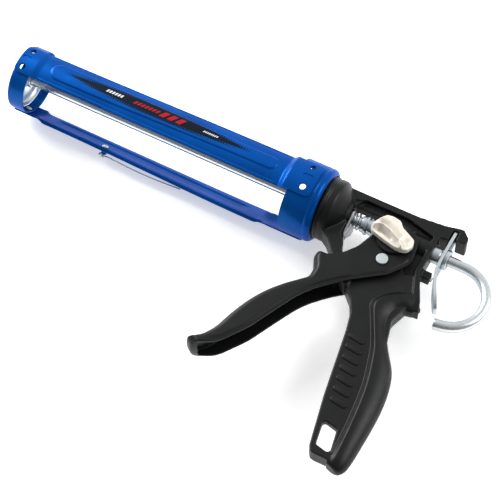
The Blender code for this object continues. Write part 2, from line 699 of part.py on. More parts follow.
def selector_base():
    """The black disc under the knob, with the shaft that crosses both cheeks."""
    disc = rod_between("selector_base", (*KNOB, CHEEK_OUT + CLEARANCE), (*KNOB, CHEEK_OUT + 2.3), KNOB_BASE_R, 32)
    return disc


def selector_shaft():
    shaft = rod_between("selector_shaft", (*KNOB, -12.6), (*KNOB, CHEEK_OUT), SHAFT_R, 16)
    return shaft


def roller():
    outer = rod_between("drive_roller", (*KNOB, -8.6), (*KNOB, 8.6), ROLLER_R)
    bore = rod_between("roller_bore", (*KNOB, -10.0), (*KNOB, 10.0), SHAFT_R + CLEARANCE, 16)
    return cut(outer, bore)


def shaft_washer():
    washer = rod_between("shaft_washer", (*KNOB, -12.6), (*KNOB, -11.6), 4.2)
    bore = rod_between("washer_bore", (*KNOB, -14.0), (*KNOB, -10.0), SHAFT_R + CLEARANCE, 16)
    return cut(washer, bore)


def standing(name, outline, x, thickness):
    """A flat plate square to the rod: the outline is given as (z, y) and the plate starts at x."""
    body = plate(name, outline, 0.0, thickness, 30.0)
    turn = Matrix.Rotation(math.radians(90.0), 4, "Y")
    body.data.transform(Matrix.Translation(metres((x, 0.0, 0.0))) @ turn)
    return body


def drive_plate(name, x):
    """One of the plates that bite on the rod when the roller pushes them."""
    outline = [(-8.6, -12.6, 2.0), (-8.6, 8.9, 2.0), (8.6, 8.9, 2.0), (8.6, -12.6, 2.0)]
    body = standing(name, outline, x, PLATE_THICK)
    bore = rod_between("plate_bore", (x - 5.0, 0.0, 0.0), (x + 8.0, 0.0, 0.0), ROD_R + CLEARANCE + 0.1)
    return cut(body, bore)


def drive_sleeve():
    """The sleeve between the spring and the plates, with its collar."""
    inner = ROD_R + CLEARANCE + 0.1
    return turned("drive_sleeve", [(SLEEVE_START, inner), (SLEEVE_START, 5.4), (SLEEVE_START + 1.0, SLEEVE_R),
                                   (307.0, SLEEVE_R), (307.0, 7.6), (309.0, 7.6), (309.0, SLEEVE_R),
                                   (SLEEVE_END, SLEEVE_R), (SLEEVE_END, inner)], 20)


def coil(name, start, end, radius, wire, turns, centre=(0.0, 0.0), resolution=1):
    """A compression spring whose axis lies along the rod's direction, through (y, z)."""
    per_turn = 8
    points = []
    for k in range(int(turns * per_turn) + 1):
        a = 2.0 * math.pi * k / per_turn
        x = start + (end - start) * k / (turns * per_turn)
        points.append((x, centre[0] + radius * math.cos(a), centre[1] + radius * math.sin(a)))
    return tube(name, points, wire, resolution)


def spring_plate():
    """The steel fork behind the bell: two prongs beside the spring, a tab below it and an ear bent to the rear."""
    outline = [(-4.4, -19.8, 3.8), (-10.6, -3.0, 3.0), (-10.2, 1.6, 1.2), (9.0, 1.6, 1.2),
               (9.0, -3.0, 3.0), (4.4, -19.8, 3.8)]
    body = standing("spring_plate", outline, 295.4, 1.4)
    ear = plate("ear", [(295.6, -8.2), (299.4, -8.2), (300.8, -10.4), (300.8, -15.0), (298.4, -19.0),
                        (295.6, -18.0)], 1.4, 2.8)
    bore = rod_between("spring_plate_bore", (285.0, 0.0, 0.0), (298.0, 0.0, 0.0), 7.6)
    return cut(join(body, ear), bore)


# ---------------------------------------------------------------- rod and release plate

def push_rod():
    """The round rod, bent into a hook at its rear end."""
    points = [(ROD_START, 0.0, 0.0), (380.0, 0.0, 0.0)]
    for k in range(0, 15):
        a = math.radians(HOOK_SWEEP * k / 14.0)
        points.append((HOOK_X + HOOK_R * math.sin(a), -HOOK_R + HOOK_R * math.cos(a), 0.0))
    end = math.radians(HOOK_SWEEP)
    points.append((points[-1][0] + HOOK_TAIL * math.cos(end), points[-1][1] - HOOK_TAIL * math.sin(end), 0.0))
    return tube("push_rod", points, ROD_R, 4)


def piston():
    """The dished steel disc that pushes the cartridge's plunger."""
    return turned("piston", [
        (PISTON_X, ROD_R + CLEARANCE), (PISTON_X, 8.5), (PISTON_X + 1.6, 11.0), (PISTON_X + 1.6, 20.5),
        (PISTON_X + 2.4, 22.2), (PISTON_X + 6.0, PISTON_R), (PISTON_X + 6.0, PISTON_R - 1.0),
        (PISTON_X + 3.3, 21.4), (PISTON_X + 2.6, 20.0), (PISTON_X + 2.6, 10.4), (PISTON_X + 1.0, 8.0),
        (PISTON_X + 1.0, ROD_R + CLEARANCE),
    ])


def piston_hub():
    """The flanged hub that is pressed on the rod behind the disc."""
    return turned("piston_hub", [(PISTON_X + 1.0 + CLEARANCE, ROD_R + 0.05), (PISTON_X + 1.0 + CLEARANCE, 7.4),
                                 (PISTON_X + 2.6, 7.4), (PISTON_X + 3.2, 6.4), (PISTON_X + 7.0, 6.4),
                                 (PISTON_X + 7.0, ROD_R + 0.05)], 20)


def release_plate():
    """The plate that locks the rod: straight down past the rod, then a thumb tab bent to the rear."""
    bend = [(0.0, RELEASE_TOP), (0.0, 10.0), (0.0, -12.5), (0.8, -17.0), (2.1, -21.0), (5.6, -30.4),
            (9.4, -38.0), (11.6, -42.4), (12.8, -44.6), (13.3, -45.6)]
    half = [7.0, 8.0, 8.0, 8.0, 8.2, 9.2, 9.0, 7.2, 5.4, 3.6]
    rows = []
    for (x, y), wide in zip(bend, half):
        rows.append([(RELEASE_X + x, y, wide * (k / 2.0 - 1.0)) for k in range(5)])
    body = sheet("release_plate", rows, RELEASE_THICK, 1.0)
    bore = rod_between("release_bore", (360.0, 0.0, 0.0), (385.0, 0.0, 0.0), RELEASE_BORE_R)
    return cut(body, bore)


def release_collar():
    """The collar on the rod against the plate's rear face."""
    start = RELEASE_X + RELEASE_THICK + 0.1
    return turned("release_collar", [(start, RELEASE_BORE_R), (start, 8.0), (start + 2.6, 8.0), (start + 3.0, 7.6),
                                     (start + 3.0, RELEASE_BORE_R)], 24)


# ---------------------------------------------------------------- build

clear_scene()
PARTS = new_collection("caulking_gun")
CUTTERS = new_collection("cutters")

shift = (-CENTRE_X, -(TOP_Y + BOTTOM_Y) / 2.0, -LOWEST_Z)
root = empty("gun_origin", shift)
root["place"] = (0.0, 0.0, 0.0)
cradle_axis = empty("cradle_axis", (258.0, 0.0, 0.0), root)
trigger_axis = empty("trigger_axis", (*PIVOT, 0.0), root)
selector_axis = empty("selector_axis", (*KNOB, 0.0), trigger_axis)
clutch_axis = empty("clutch_axis", (314.0, 0.0, 0.0), root)
release_axis = empty("release_axis", (RELEASE_X + RELEASE_THICK / 2.0, RELEASE_TOP, 0.0), root)
piston_axis = empty("piston_axis", (PISTON_X, 0.0, 0.0), root)
rod_axis = empty("rod_axis", (ROD_START, 0.0, 0.0), piston_axis)
needle_base, needle_direction = strut_axis(NEEDLE_X, NEEDLE_S)
needle_axis = empty("needle_axis", tuple(needle_base + needle_direction * NEEDLE_R), cradle_axis)

node(front_ring(), "front_ring", "blue", cradle_axis)
node(rear_ring(), "rear_ring", "blue", cradle_axis)
node(tray(), "tray", "blue", cradle_axis)
node(strut(), "strut", "blue", cradle_axis)
node(strut_rivet("front_rivet", FRONT_RIVET_X, FRONT_RING_R), "front_rivet", "steel", cradle_axis)
node(strut_rivet("rear_rivet", REAR_RIVET_X, REAR_RING_R), "rear_rivet", "steel", cradle_axis)
node(rivet("needle_rivet", NEEDLE_X, NEEDLE_S, 25.9, 34.3), "needle_rivet", "steel", cradle_axis)
node(needle_spacer(), "needle_spacer", "blue", cradle_axis)
node(seal_needle(), "seal_needle", "steel", needle_axis)

node(join(handle_frame(), *grip_pads()), "handle_frame", "black", root)
node(retaining_plate(), "retaining_plate", "dark_steel", root)
node(bush("front_bush", 262.0, 279.6, 6.8, ROD_R + CLEARANCE), "front_bush", "steel", root)
node(bush("rear_bush", 342.5, 369.2, 6.6, ROD_R + CLEARANCE), "rear_bush", "steel", root)
node(spring_plate(), "spring_plate", "spring", root)
node(trigger_pin(), "trigger_pin", "white_metal", root)
node(pin_clip(), "pin_clip", "steel", root)

node(trigger(), "trigger", "black", trigger_axis)
node(roller(), "drive_roller", "steel", trigger_axis)
node(selector_knob(), "selector_knob", "ivory", selector_axis)
node(selector_base(), "selector_base", "black", selector_axis)
node(selector_shaft(), "selector_shaft", "steel", selector_axis)
node(shaft_washer(), "shaft_washer", "steel", selector_axis)

node(drive_sleeve(), "drive_sleeve", "steel", clutch_axis)
for number, plate_x in enumerate(DRIVE_PLATE_X, 1):
    node(drive_plate("drive_plate", plate_x), "drive_plate_%d" % number, "steel", clutch_axis)
node(coil("return_spring", SPRING_START, SLEEVE_START - CLEARANCE - WIRE_R, SPRING_R, WIRE_R, 7.0),
     "return_spring", "spring", root)

node(release_plate(), "release_plate", "steel", release_axis)
node(release_collar(), "release_collar", "steel", release_axis)
node(coil("release_spring", 364.7, RELEASE_X + 0.9, 1.7, 0.35, 3.0, (-21.1, 0.0), 0), "release_spring", "spring", root)

node(piston(), "piston", "steel", piston_axis)
node(piston_hub(), "piston_hub", "steel", piston_axis)
node(push_rod(), "push_rod", "steel", rod_axis)
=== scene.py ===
"""The looks of the caulking gun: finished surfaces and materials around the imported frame.

Shapes are made in gun coordinates, in millimetres: X runs rearward along the rod from the front edge of
the cradle, Y points to the gun's top and Z to its left side, which is up. Each finished piece is then
moved by ORIGIN, the place of the gun's zero point in the frame.
"""

import math

import bmesh
import bpy
import numpy
from mathutils import Matrix, Vector


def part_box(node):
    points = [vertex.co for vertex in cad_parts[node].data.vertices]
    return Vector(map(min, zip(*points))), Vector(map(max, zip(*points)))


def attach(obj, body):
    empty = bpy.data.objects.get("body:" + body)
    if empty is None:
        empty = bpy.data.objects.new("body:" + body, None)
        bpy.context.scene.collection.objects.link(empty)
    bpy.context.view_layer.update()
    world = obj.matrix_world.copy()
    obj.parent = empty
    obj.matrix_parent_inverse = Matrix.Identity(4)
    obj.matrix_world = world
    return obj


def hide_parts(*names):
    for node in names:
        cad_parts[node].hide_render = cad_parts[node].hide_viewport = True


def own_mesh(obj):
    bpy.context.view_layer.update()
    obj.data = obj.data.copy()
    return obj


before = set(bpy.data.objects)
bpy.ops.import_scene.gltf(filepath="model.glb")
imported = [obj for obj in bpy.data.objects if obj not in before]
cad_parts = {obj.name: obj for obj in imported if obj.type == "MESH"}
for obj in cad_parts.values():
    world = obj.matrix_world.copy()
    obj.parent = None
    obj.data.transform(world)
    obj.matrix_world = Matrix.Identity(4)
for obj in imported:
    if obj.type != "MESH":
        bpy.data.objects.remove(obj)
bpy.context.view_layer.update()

MM = 0.001
LOW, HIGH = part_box("front_ring")
ORIGIN = Vector((LOW.x, (LOW.y + HIGH.y) / 2.0, (LOW.z + HIGH.z) / 2.0))

# Cradle
RING_WALL = 1.2
FRONT_RING_R = 26.3
FRONT_RING_END = 15.0
FRONT_HOLE_R = 20.5
REAR_RING_R = 30.0
REAR_RING_START = 245.6
REAR_RING_END = 271.5
LIP_R = 25.9
SHEET = 1.0
GAP = 0.3
TAB_ANGLE = -1.0
TRAY_ANGLE = -2.0
TAB_HOLE_ANGLE = 18.0
TAB_HOLE_R = 2.6
FRONT_TAB_X = 6.8
REAR_TAB_X = 256.0
TRAY_START = 1.0
TRAY_END = 264.0
TRAY_CORNER = 4.0
DEGREES_PER_MM = 2.15
STRUT_ANGLE = 147.0
STRUT_FLANGE = 2.6
STRUT_START = 1.2
STRUT_END = 263.5
STRUT_CORNER = 3.0
FRONT_RIVET_X = 10.5
REAR_RIVET_X = 256.0
NEEDLE_X = 85.5
NEEDLE_S = -5.6
NEEDLE_R = 33.2
NEEDLE_EYE_R = 3.3
NEEDLE_REACH = 66.0

# Rod and piston
ROD_R = 4.3
ROD_START = 2.6
HOOK_X = 389.5
HOOK_R = 27.2
HOOK_SWEEP = 172.0
HOOK_TAIL = 5.0
PISTON_R = 23.4
PISTON_X = 2.2

# Handle, trigger and knob
BELL_START = 271.8
BOSS_END = 293.8
BEAM_TOP = 21.0
BEAM_HALF = 8.5
WEB_HALF = 4.0
FLAT_HALF = 6.5
WINDOW_TOP = 9.5
PIVOT = (333.2, -28.8)
KNOB = (333.5, -9.0)
PIN_R = 3.0
CHEEK_IN = 9.4
CHEEK_OUT = 11.3
TRIGGER_ROUND = 5.4
LEVER_SWELL = 0.9
TIP_CURL = 2.2
LOBE_ROUND = 1.2
BORDER_DEPTH = 0.7
SHAFT_R = 2.4

# Drive and release plate
SLEEVE_START = 303.0
SLEEVE_END = 324.9
SLEEVE_R = 6.5
DRIVE_PLATE_X = (325.2, 327.5)
PLATE_THICK = 2.0
SPRING_START = 281.3
SPRING_R = 6.2
WIRE_R = 0.6
RELEASE_X = 370.7
RELEASE_THICK = 2.3
RELEASE_TOP = 21.7
RELEASE_BORE_R = 4.8
FORK_X = 295.4
FORK_THICK = 1.4
FORK_BORE_R = 7.6
# Start, end and radius of the rod's two bushes
FRONT_BUSH = (262.0, 279.6, 6.8)
REAR_BUSH = (342.5, 369.2, 6.6)
ROLLER_HALF = 8.6
ROLLER_R = 3.6
WASHER_Z = (-12.6, -11.6)
WASHER_R = 4.2
CUTTER_EDGE = 0.02
ALONG = (1, 0, 0)
ACROSS = (0, 0, 1)

PIECES = bpy.data.collections.new("gun_looks")
bpy.context.scene.collection.children.link(PIECES)


# ---------------------------------------------------------------- shape helpers

def mm(point):
    return Vector(point) * MM


def link(obj):
    PIECES.objects.link(obj)
    return obj


def to_object(name, shape):
    mesh = bpy.data.meshes.new(name)
    shape.to_mesh(mesh)
    shape.free()
    return link(bpy.data.objects.new(name, mesh))


def from_bmesh(name, shape):
    """A closed shape as an object, with its faces pointing out."""
    bmesh.ops.recalc_face_normals(shape, faces=shape.faces)
    if shape.calc_volume(signed=True) < 0.0:
        bmesh.ops.reverse_faces(shape, faces=shape.faces)
    return to_object(name, shape)


def bake(obj):
    """Turns a curve, or an object with modifiers, into a plain mesh object."""
    bpy.context.view_layer.update()
    graph = bpy.context.evaluated_depsgraph_get()
    mesh = bpy.data.meshes.new_from_object(obj.evaluated_get(graph))
    mesh.transform(obj.matrix_world)
    name = obj.name
    bpy.data.objects.remove(obj, do_unlink=True)
    shape = bmesh.new()
    shape.from_mesh(mesh)
    bpy.data.meshes.remove(mesh)
    bmesh.ops.remove_doubles(shape, verts=shape.verts, dist=1e-6)
    return from_bmesh(name, shape)


def arc(x, y, radius, start, end, pieces=8):
    """Points on an arc about (x, y), with angles in degrees from +X towards +Y."""
    angles = [math.radians(start + (end - start) * k / pieces) for k in range(pieces + 1)]
    return [(x + radius * math.cos(a), y + radius * math.sin(a)) for a in angles]


def rounded(corners, step=8.0):
    """The outline through (x, y) or (x, y, radius) corners, with an arc at each corner that has a radius."""
    outline = []
    count = len(corners)
    for i, corner in enumerate(corners):
        here = Vector(corner[:2])
        radius = corner[2] if len(corner) > 2 else 0.0
        before = Vector(corners[i - 1][:2]) - here
        after = Vector(corners[(i + 1) % count][:2]) - here
        if radius <= 0.0:
            outline.append(here)
            continue
        half = before.angle(after) / 2.0
        reach = min(radius / math.tan(half), 0.49 * before.length, 0.49 * after.length)
        radius = reach * math.tan(half)
        bisector = (before.normalized() + after.normalized()).normalized()
        middle = here + bisector * (radius / math.sin(half))
        start = here + before.normalized() * reach - middle
        turn = start.angle_signed(here + after.normalized() * reach - middle)
        pieces = max(2, math.ceil(abs(math.degrees(turn)) / step))
        for k in range(pieces + 1):
            a = -turn * k / pieces
            spun = (start.x * math.cos(a) - start.y * math.sin(a),
                start.x * math.sin(a) + start.y * math.cos(a))
            outline.append(middle + Vector(spun))
    return outline


def plate(name, corners, low, high, edge=0.0, step=8.0):
    """A flat piece between two heights, with its long edges rounded by the given radius."""
    shape = bmesh.new()
    verts = [shape.verts.new((p.x * MM, p.y * MM, low * MM)) for p in rounded(corners, step)]
    face = shape.faces.new(verts)
    grown = bmesh.ops.extrude_face_region(shape, geom=[face])
    tops = [v for v in grown["geom"] if isinstance(v, bmesh.types.BMVert)]
    bmesh.ops.translate(shape, verts=tops, vec=(0.0, 0.0, (high - low) * MM))
    obj = from_bmesh(name, shape)
    return bevelled(obj, edge) if edge > 0.0 else obj


def bevelled(obj, width, segments=3, angle=40.0):
    bevel = obj.modifiers.new("edges", "BEVEL")
    bevel.width = width * MM
    bevel.segments = segments
    bevel.limit_method = "ANGLE"
    bevel.angle_limit = math.radians(angle)
    bevel.harden_normals = False
    return bake(obj)


def turned(name, profile, steps=96):
    """A turned piece on the rod's axis. The profile is a closed outline of (x, radius)."""
    shape = bmesh.new()
    rings = []
    for k in range(steps):
        a = 2.0 * math.pi * k / steps
        rings.append([shape.verts.new(mm((x, r * math.cos(a), r * math.sin(a)))) for x, r in profile])
    for k in range(steps):
        ring, following = rings[k], rings[(k + 1) % steps]
        for i in range(len(profile)):
            j = (i + 1) % len(profile)
            if profile[i][1] > 0.0 or profile[j][1] > 0.0:
                shape.faces.new((ring[i], ring[j], following[j], following[i]))
    bmesh.ops.remove_doubles(shape, verts=shape.verts, dist=1e-7)
    return from_bmesh(name, shape)


def turned_at(name, profile, base, direction, steps=48):
    """A turned piece whose axis starts at a point and runs along a direction."""
    obj = turned(name, profile, steps)
    spin = Vector(direction).to_track_quat("X", "Z").to_matrix().to_4x4()
    obj.data.transform(Matrix.Translation(mm(base)) @ spin)
    return obj


def drum(name, base, direction, start, end, radius, edge=0.2, bore=0.0, steps=48):
    """A round piece with softened rims, hollow if a bore is given."""
    profile = [(start, bore), (start, radius - edge), (start + 0.3 * edge, radius - 0.3 * edge),
        (start + edge, radius), (end - edge, radius), (end - 0.3 * edge, radius - 0.3 * edge),
        (end, radius - edge), (end, bore)]
    return turned_at(name, profile, base, direction, steps)


def tube(name, points, radius, resolution=8, taper=0.0):
    """A wire or bent bar through the points, with slightly rounded ends if a taper is given."""
    curve = bpy.data.curves.new(name, "CURVE")
    curve.dimensions = "3D"
    curve.bevel_depth = radius * MM
    curve.bevel_resolution = resolution
    curve.use_fill_caps = True
    places = [Vector(p) for p in points]
    sizes = [1.0] * len(places)
    if taper > 0.0:
        first, last = (places[1] - places[0]).normalized(), (places[-2] - places[-1]).normalized()
        ramps = [(0.0, 1.0 - taper / radius), (0.1, 1.0 - 0.6 * taper / radius),
            (0.35, 1.0 - 0.25 * taper / radius), (1.0, 1.0)]
        head = [places[0] + first * (t * taper) for t, _ in ramps]
        foot = [places[-1] + last * (t * taper) for t, _ in ramps]
        places = head + places[1:-1] + foot[::-1]
        sizes = [s for _, s in ramps] + sizes[1:-1] + [s for _, s in ramps][::-1]
    spline = curve.splines.new("POLY")
    spline.points.add(len(places) - 1)
    for point, place, size in zip(spline.points, places, sizes):
        point.co = (*(place * MM), 1.0)
        point.radius = size
    return bake(link(bpy.data.objects.new(name, curve)))


def surface(name, rows):
    """An open surface through rows of points."""
    shape = bmesh.new()
    grid = [[shape.verts.new(mm(p)) for p in row] for row in rows]
    for a, b in zip(grid, grid[1:]):
        for i in range(len(a) - 1):
            shape.faces.new((a[i], a[i + 1], b[i + 1], b[i]))
    return to_object(name, shape)


def sheet(name, rows, thickness, offset=0.0, edge=0.25):
    """A sheet-metal piece: an open surface made solid, with softened edges."""
    obj = surface(name, rows)
    solid = obj.modifiers.new("thickness", "SOLIDIFY")
    solid.thickness = thickness * MM
    solid.offset = offset
    solid.use_even_offset = True
    return bevelled(bake(obj), edge, 2, 50.0)


def loft(name, rings):
    """A closed body through rings that have the same number of points."""
    shape = bmesh.new()
    made = [[shape.verts.new(mm(p)) for p in ring] for ring in rings]
    for a, b in zip(made, made[1:]):
        for i in range(len(a)):
            j = (i + 1) % len(a)
            shape.faces.new((a[i], a[j], b[j], b[i]))
    shape.faces.new(made[0])
    shape.faces.new(made[-1])
    return from_bmesh(name, shape)


def boolean(target, operation, others):
    for other in others:
        modifier = target.modifiers.new("boolean", "BOOLEAN")
        modifier.operation = operation
        modifier.solver = "EXACT"
        modifier.object = other
    target = bake(target)
    for other in others:
        bpy.data.objects.remove(other, do_unlink=True)
    return target


def cut(target, *others):
    return boolean(target, "DIFFERENCE", others)


def join(target, *others):
    return boolean(target, "UNION", others)


def merged(target, *others):
    """Several closed shapes kept as one piece, without a cut between them."""
    name = target.name
    shape = bmesh.new()
    for obj in (target, *others):
        shape.from_mesh(obj.data)
    for obj in (target, *others):
        bpy.data.objects.remove(obj, do_unlink=True)
    return to_object(name, shape)


def moulded(obj, voxel, smooth, keep=0.5):
    """Runs the surface together as a casting does: fillets in every corner and no sharp edge."""
    remesh = obj.modifiers.new("remesh", "REMESH")
    remesh.mode = "VOXEL"
    remesh.voxel_size = voxel * MM
    soften = obj.modifiers.new("soften", "SMOOTH")
    soften.factor = 0.5
    soften.iterations = smooth
    if keep < 1.0:
        thin = obj.modifiers.new("thin", "DECIMATE")
        thin.ratio = keep
    return bake(obj)


def smoothstep(value, low, high):
    """0 below low and 1 above high, with a soft rise between, for a number or an array."""
    t = numpy.clip((value - low) / (high - low), 0.0, 1.0)
    return t * t * (3.0 - 2.0 * t)


def corner_inset(x, start, end, corner):
    """How far a sheet's rounded corners pull its long edge in at x."""
    past = max(corner - (x - start), corner - (end - x), 0.0)
    return corner - math.sqrt(max(corner * corner - past * past, 0.0))


def barrel(x, angle, radius):
    """A point on the barrel: the angle turns from +Z towards -Y."""
    a = math.radians(angle)
    return (x, -radius * math.sin(a), radius * math.cos(a))


def stations(start, end, step, finer=()):
    """Evenly spread positions, with closer ones inside the (low, high, step) stretches."""
    found = {round(start + step * k, 3) for k in range(int((end - start) / step) + 1)} | {end}
    for low, high, fine in finer:
        found |= {round(low + fine * k, 3) for k in range(int((high - low) / fine) + 1)}
    return sorted(found)


def finish_piece(obj, body, finish, nodes=(), sharp=32.0):
    """Moves a shape into the frame, and gives it its body, the finish's material and shading."""
    slot, look = finish
    obj.data.transform(Matrix.Translation(ORIGIN))
    obj.data.materials.clear()
    obj.data.materials.append(look)
    for face in obj.data.polygons:
        face.material_index = 0
    obj.data.shade_smooth()
    if sharp:
        obj.data.set_sharp_from_angle(angle=math.radians(sharp))
    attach(obj, body)
    if nodes:
        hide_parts(*nodes)
    return obj


# ---------------------------------------------------------------- material helpers

class Look:
    """A material being built: its Principled shader and short ways to add nodes to it."""

    def __init__(self, name, colour, roughness, metallic):
        self.material = bpy.data.materials.new(name)
        self.material.use_nodes = True
        self.tree = self.material.node_tree
        self.tree.nodes.clear()
        self.shader = self.tree.nodes.new("ShaderNodeBsdfPrincipled")
        output = self.tree.nodes.new("ShaderNodeOutputMaterial")
        self.tree.links.new(self.shader.outputs["BSDF"], output.inputs["Surface"])
        self.shader.inputs["Base Color"].default_value = (*colour, 1.0)
        self.shader.inputs["Roughness"].default_value = roughness
        self.shader.inputs["Metallic"].default_value = metallic
        self.place = self.tree.nodes.new("ShaderNodeTexCoord").outputs["Object"]

    def link(self, source, target):
        self.tree.links.new(source, target)

    def set(self, **values):
        for key, value in values.items():
            self.shader.inputs[key.replace("_", " ")].default_value = value

    def stretched(self, scale):
        mapping = self.tree.nodes.new("ShaderNodeMapping")
        mapping.inputs["Scale"].default_value = scale
        self.link(self.place, mapping.inputs["Vector"])
        return mapping.outputs["Vector"]

    def noise(self, scale, detail=3.0, roughness=0.5, where=None):
        texture = self.tree.nodes.new("ShaderNodeTexNoise")
        texture.inputs["Scale"].default_value = scale
        texture.inputs["Detail"].default_value = detail
        texture.inputs["Roughness"].default_value = roughness
        self.link(where or self.place, texture.inputs["Vector"])
        return texture.outputs["Fac"]

    def ramp(self, value, stops):
        node = self.tree.nodes.new("ShaderNodeValToRGB")
        points = node.color_ramp.elements
        while len(points) < len(stops):
            points.new(0.5)
        for point, (position, colour) in zip(points, stops):
            point.position = position
            point.color = (*colour, 1.0) if len(colour) == 3 else colour
        self.link(value, node.inputs["Fac"])
        return node.outputs["Color"]

    def math(self, operation, first, second=0.0, clamp=False):
        node = self.tree.nodes.new("ShaderNodeMath")
        node.operation = operation
        node.use_clamp = clamp
        for socket, value in zip(node.inputs, (first, second)):
            if isinstance(value, (int, float)):
                socket.default_value = value
            else:
                self.link(value, socket)
        return node.outputs["Value"]

    def mix(self, factor, first, second):
        node = self.tree.nodes.new("ShaderNodeMix")
        node.data_type = "RGBA"
        for socket, value in ((node.inputs[0], factor), (node.inputs[6], first), (node.inputs[7], second)):
            if isinstance(value, tuple):
                socket.default_value = (*value, 1.0)
            elif isinstance(value, (int, float)):
                socket.default_value = value
            else:
                self.link(value, socket)
        return node.outputs[2]

    def multiply(self, factor, first, second):
        node = self.tree.nodes.new("ShaderNodeMix")
        node.data_type = "RGBA"
        node.blend_type = "MULTIPLY"
        node.inputs[0].default_value = factor
        self.link(first, node.inputs[6])
        self.link(second, node.inputs[7])
        return node.outputs[2]

    def between(self, value, low, high):
        """Maps 0..1 to low..high."""
        node = self.tree.nodes.new("ShaderNodeMapRange")
        node.inputs["To Min"].default_value = low
        node.inputs["To Max"].default_value = high
        self.link(value, node.inputs["Value"])
        return node.outputs["Result"]

    def bump(self, height, strength, distance, before=None):
        node = self.tree.nodes.new("ShaderNodeBump")
        node.inputs["Strength"].default_value = strength
        node.inputs["Distance"].default_value = distance
        self.link(height, node.inputs["Height"])
        if before is not None:
            self.link(before, node.inputs["Normal"])
        self.link(node.outputs["Normal"], self.shader.inputs["Normal"])
        return node.outputs["Normal"]

    def edges(self):
        """1 on convex edges and 0 on flat faces: where the edge highlights are painted."""
        shape = self.tree.nodes.new("ShaderNodeNewGeometry").outputs["Pointiness"]
        return self.ramp(shape, [(0.52, (0, 0, 0)), (0.60, (1, 1, 1))])


PAINT_DEEP = (0.0008, 0.046, 0.240)
PAINT_BRIGHT = (0.0012, 0.072, 0.350)
# The lighter cyan blue painted on convex edges as a highlight.
PAINT_EDGE_HIGHLIGHT = (0.004, 0.150, 0.400)


def paint_colour(look):
    """Blue lacquer over bright metal: slow drifts of tone, fine metallic flakes and a painted highlight along
    convex edges.
    """
    drift = look.noise(38.0, 3.0)
    tone = look.ramp(drift, [(0.30, PAINT_DEEP), (0.72, PAINT_BRIGHT)])
    flakes = look.tree.nodes.new("ShaderNodeTexVoronoi")
    flakes.inputs["Scale"].default_value = 2600.0
    look.link(look.place, flakes.inputs["Vector"])
    spark = look.math("MULTIPLY", flakes.outputs["Distance"], 0.35, True)
    painted = look.mix(spark, tone, (0.002, 0.110, 0.480))
    # Painted highlight: convex edges are tinted a lighter cyan blue.
    return look.mix(look.math("MULTIPLY", look.edges(), 0.45), painted, PAINT_EDGE_HIGHLIGHT)


def paint_finish(look):
    look.link(look.between(look.noise(900.0, 2.0), 0.30, 0.42), look.shader.inputs["Roughness"])
    look.set(Coat_Weight=0.12, Coat_Roughness=0.12, Coat_IOR=1.35, Specular_IOR_Level=0.10,
        Specular_Tint=(0.10, 0.45, 1.0, 1.0))
    look.bump(look.noise(420.0, 3.0), 0.12, 0.00012)


def blue_paint():
    look = Look("painted_blue", PAINT_BRIGHT, 0.35, 0.45)
    look.link(paint_colour(look), look.shader.inputs["Base Color"])
    paint_finish(look)
    return look.material


# The print on the tray: a spindle about its middle, and plain bars given as
# (start, end, low, high, slant, count, shade)
PRINT_MIDDLE = 124.0
PRINT_HALF = 94.0
PRINT_WIDTH = 8.2
PRINT_FADE = 3.4
PRINT_BLUNT = 2.4
PRINT_OFFSET = -1.6
DOT_PITCH = 2.1
PRINT_BLACK = (0.006, 0.008, 0.010)
PRINT_RED = (0.36, 0.010, 0.016)
PRINT_PALE = (0.62, 0.66, 0.68)
PRINT_BARS = ((79.0, 94.0, -1.5, 1.2, 0.4, 6, PRINT_PALE), (104.0, 127.0, -1.4, 1.5, 0.7, 7, PRINT_RED),
    (128.5, 150.0, -2.6, 2.8, 0.7, 3, PRINT_RED), (165.0, 178.0, -0.9, 0.7, 0.4, 8, PRINT_PALE),)


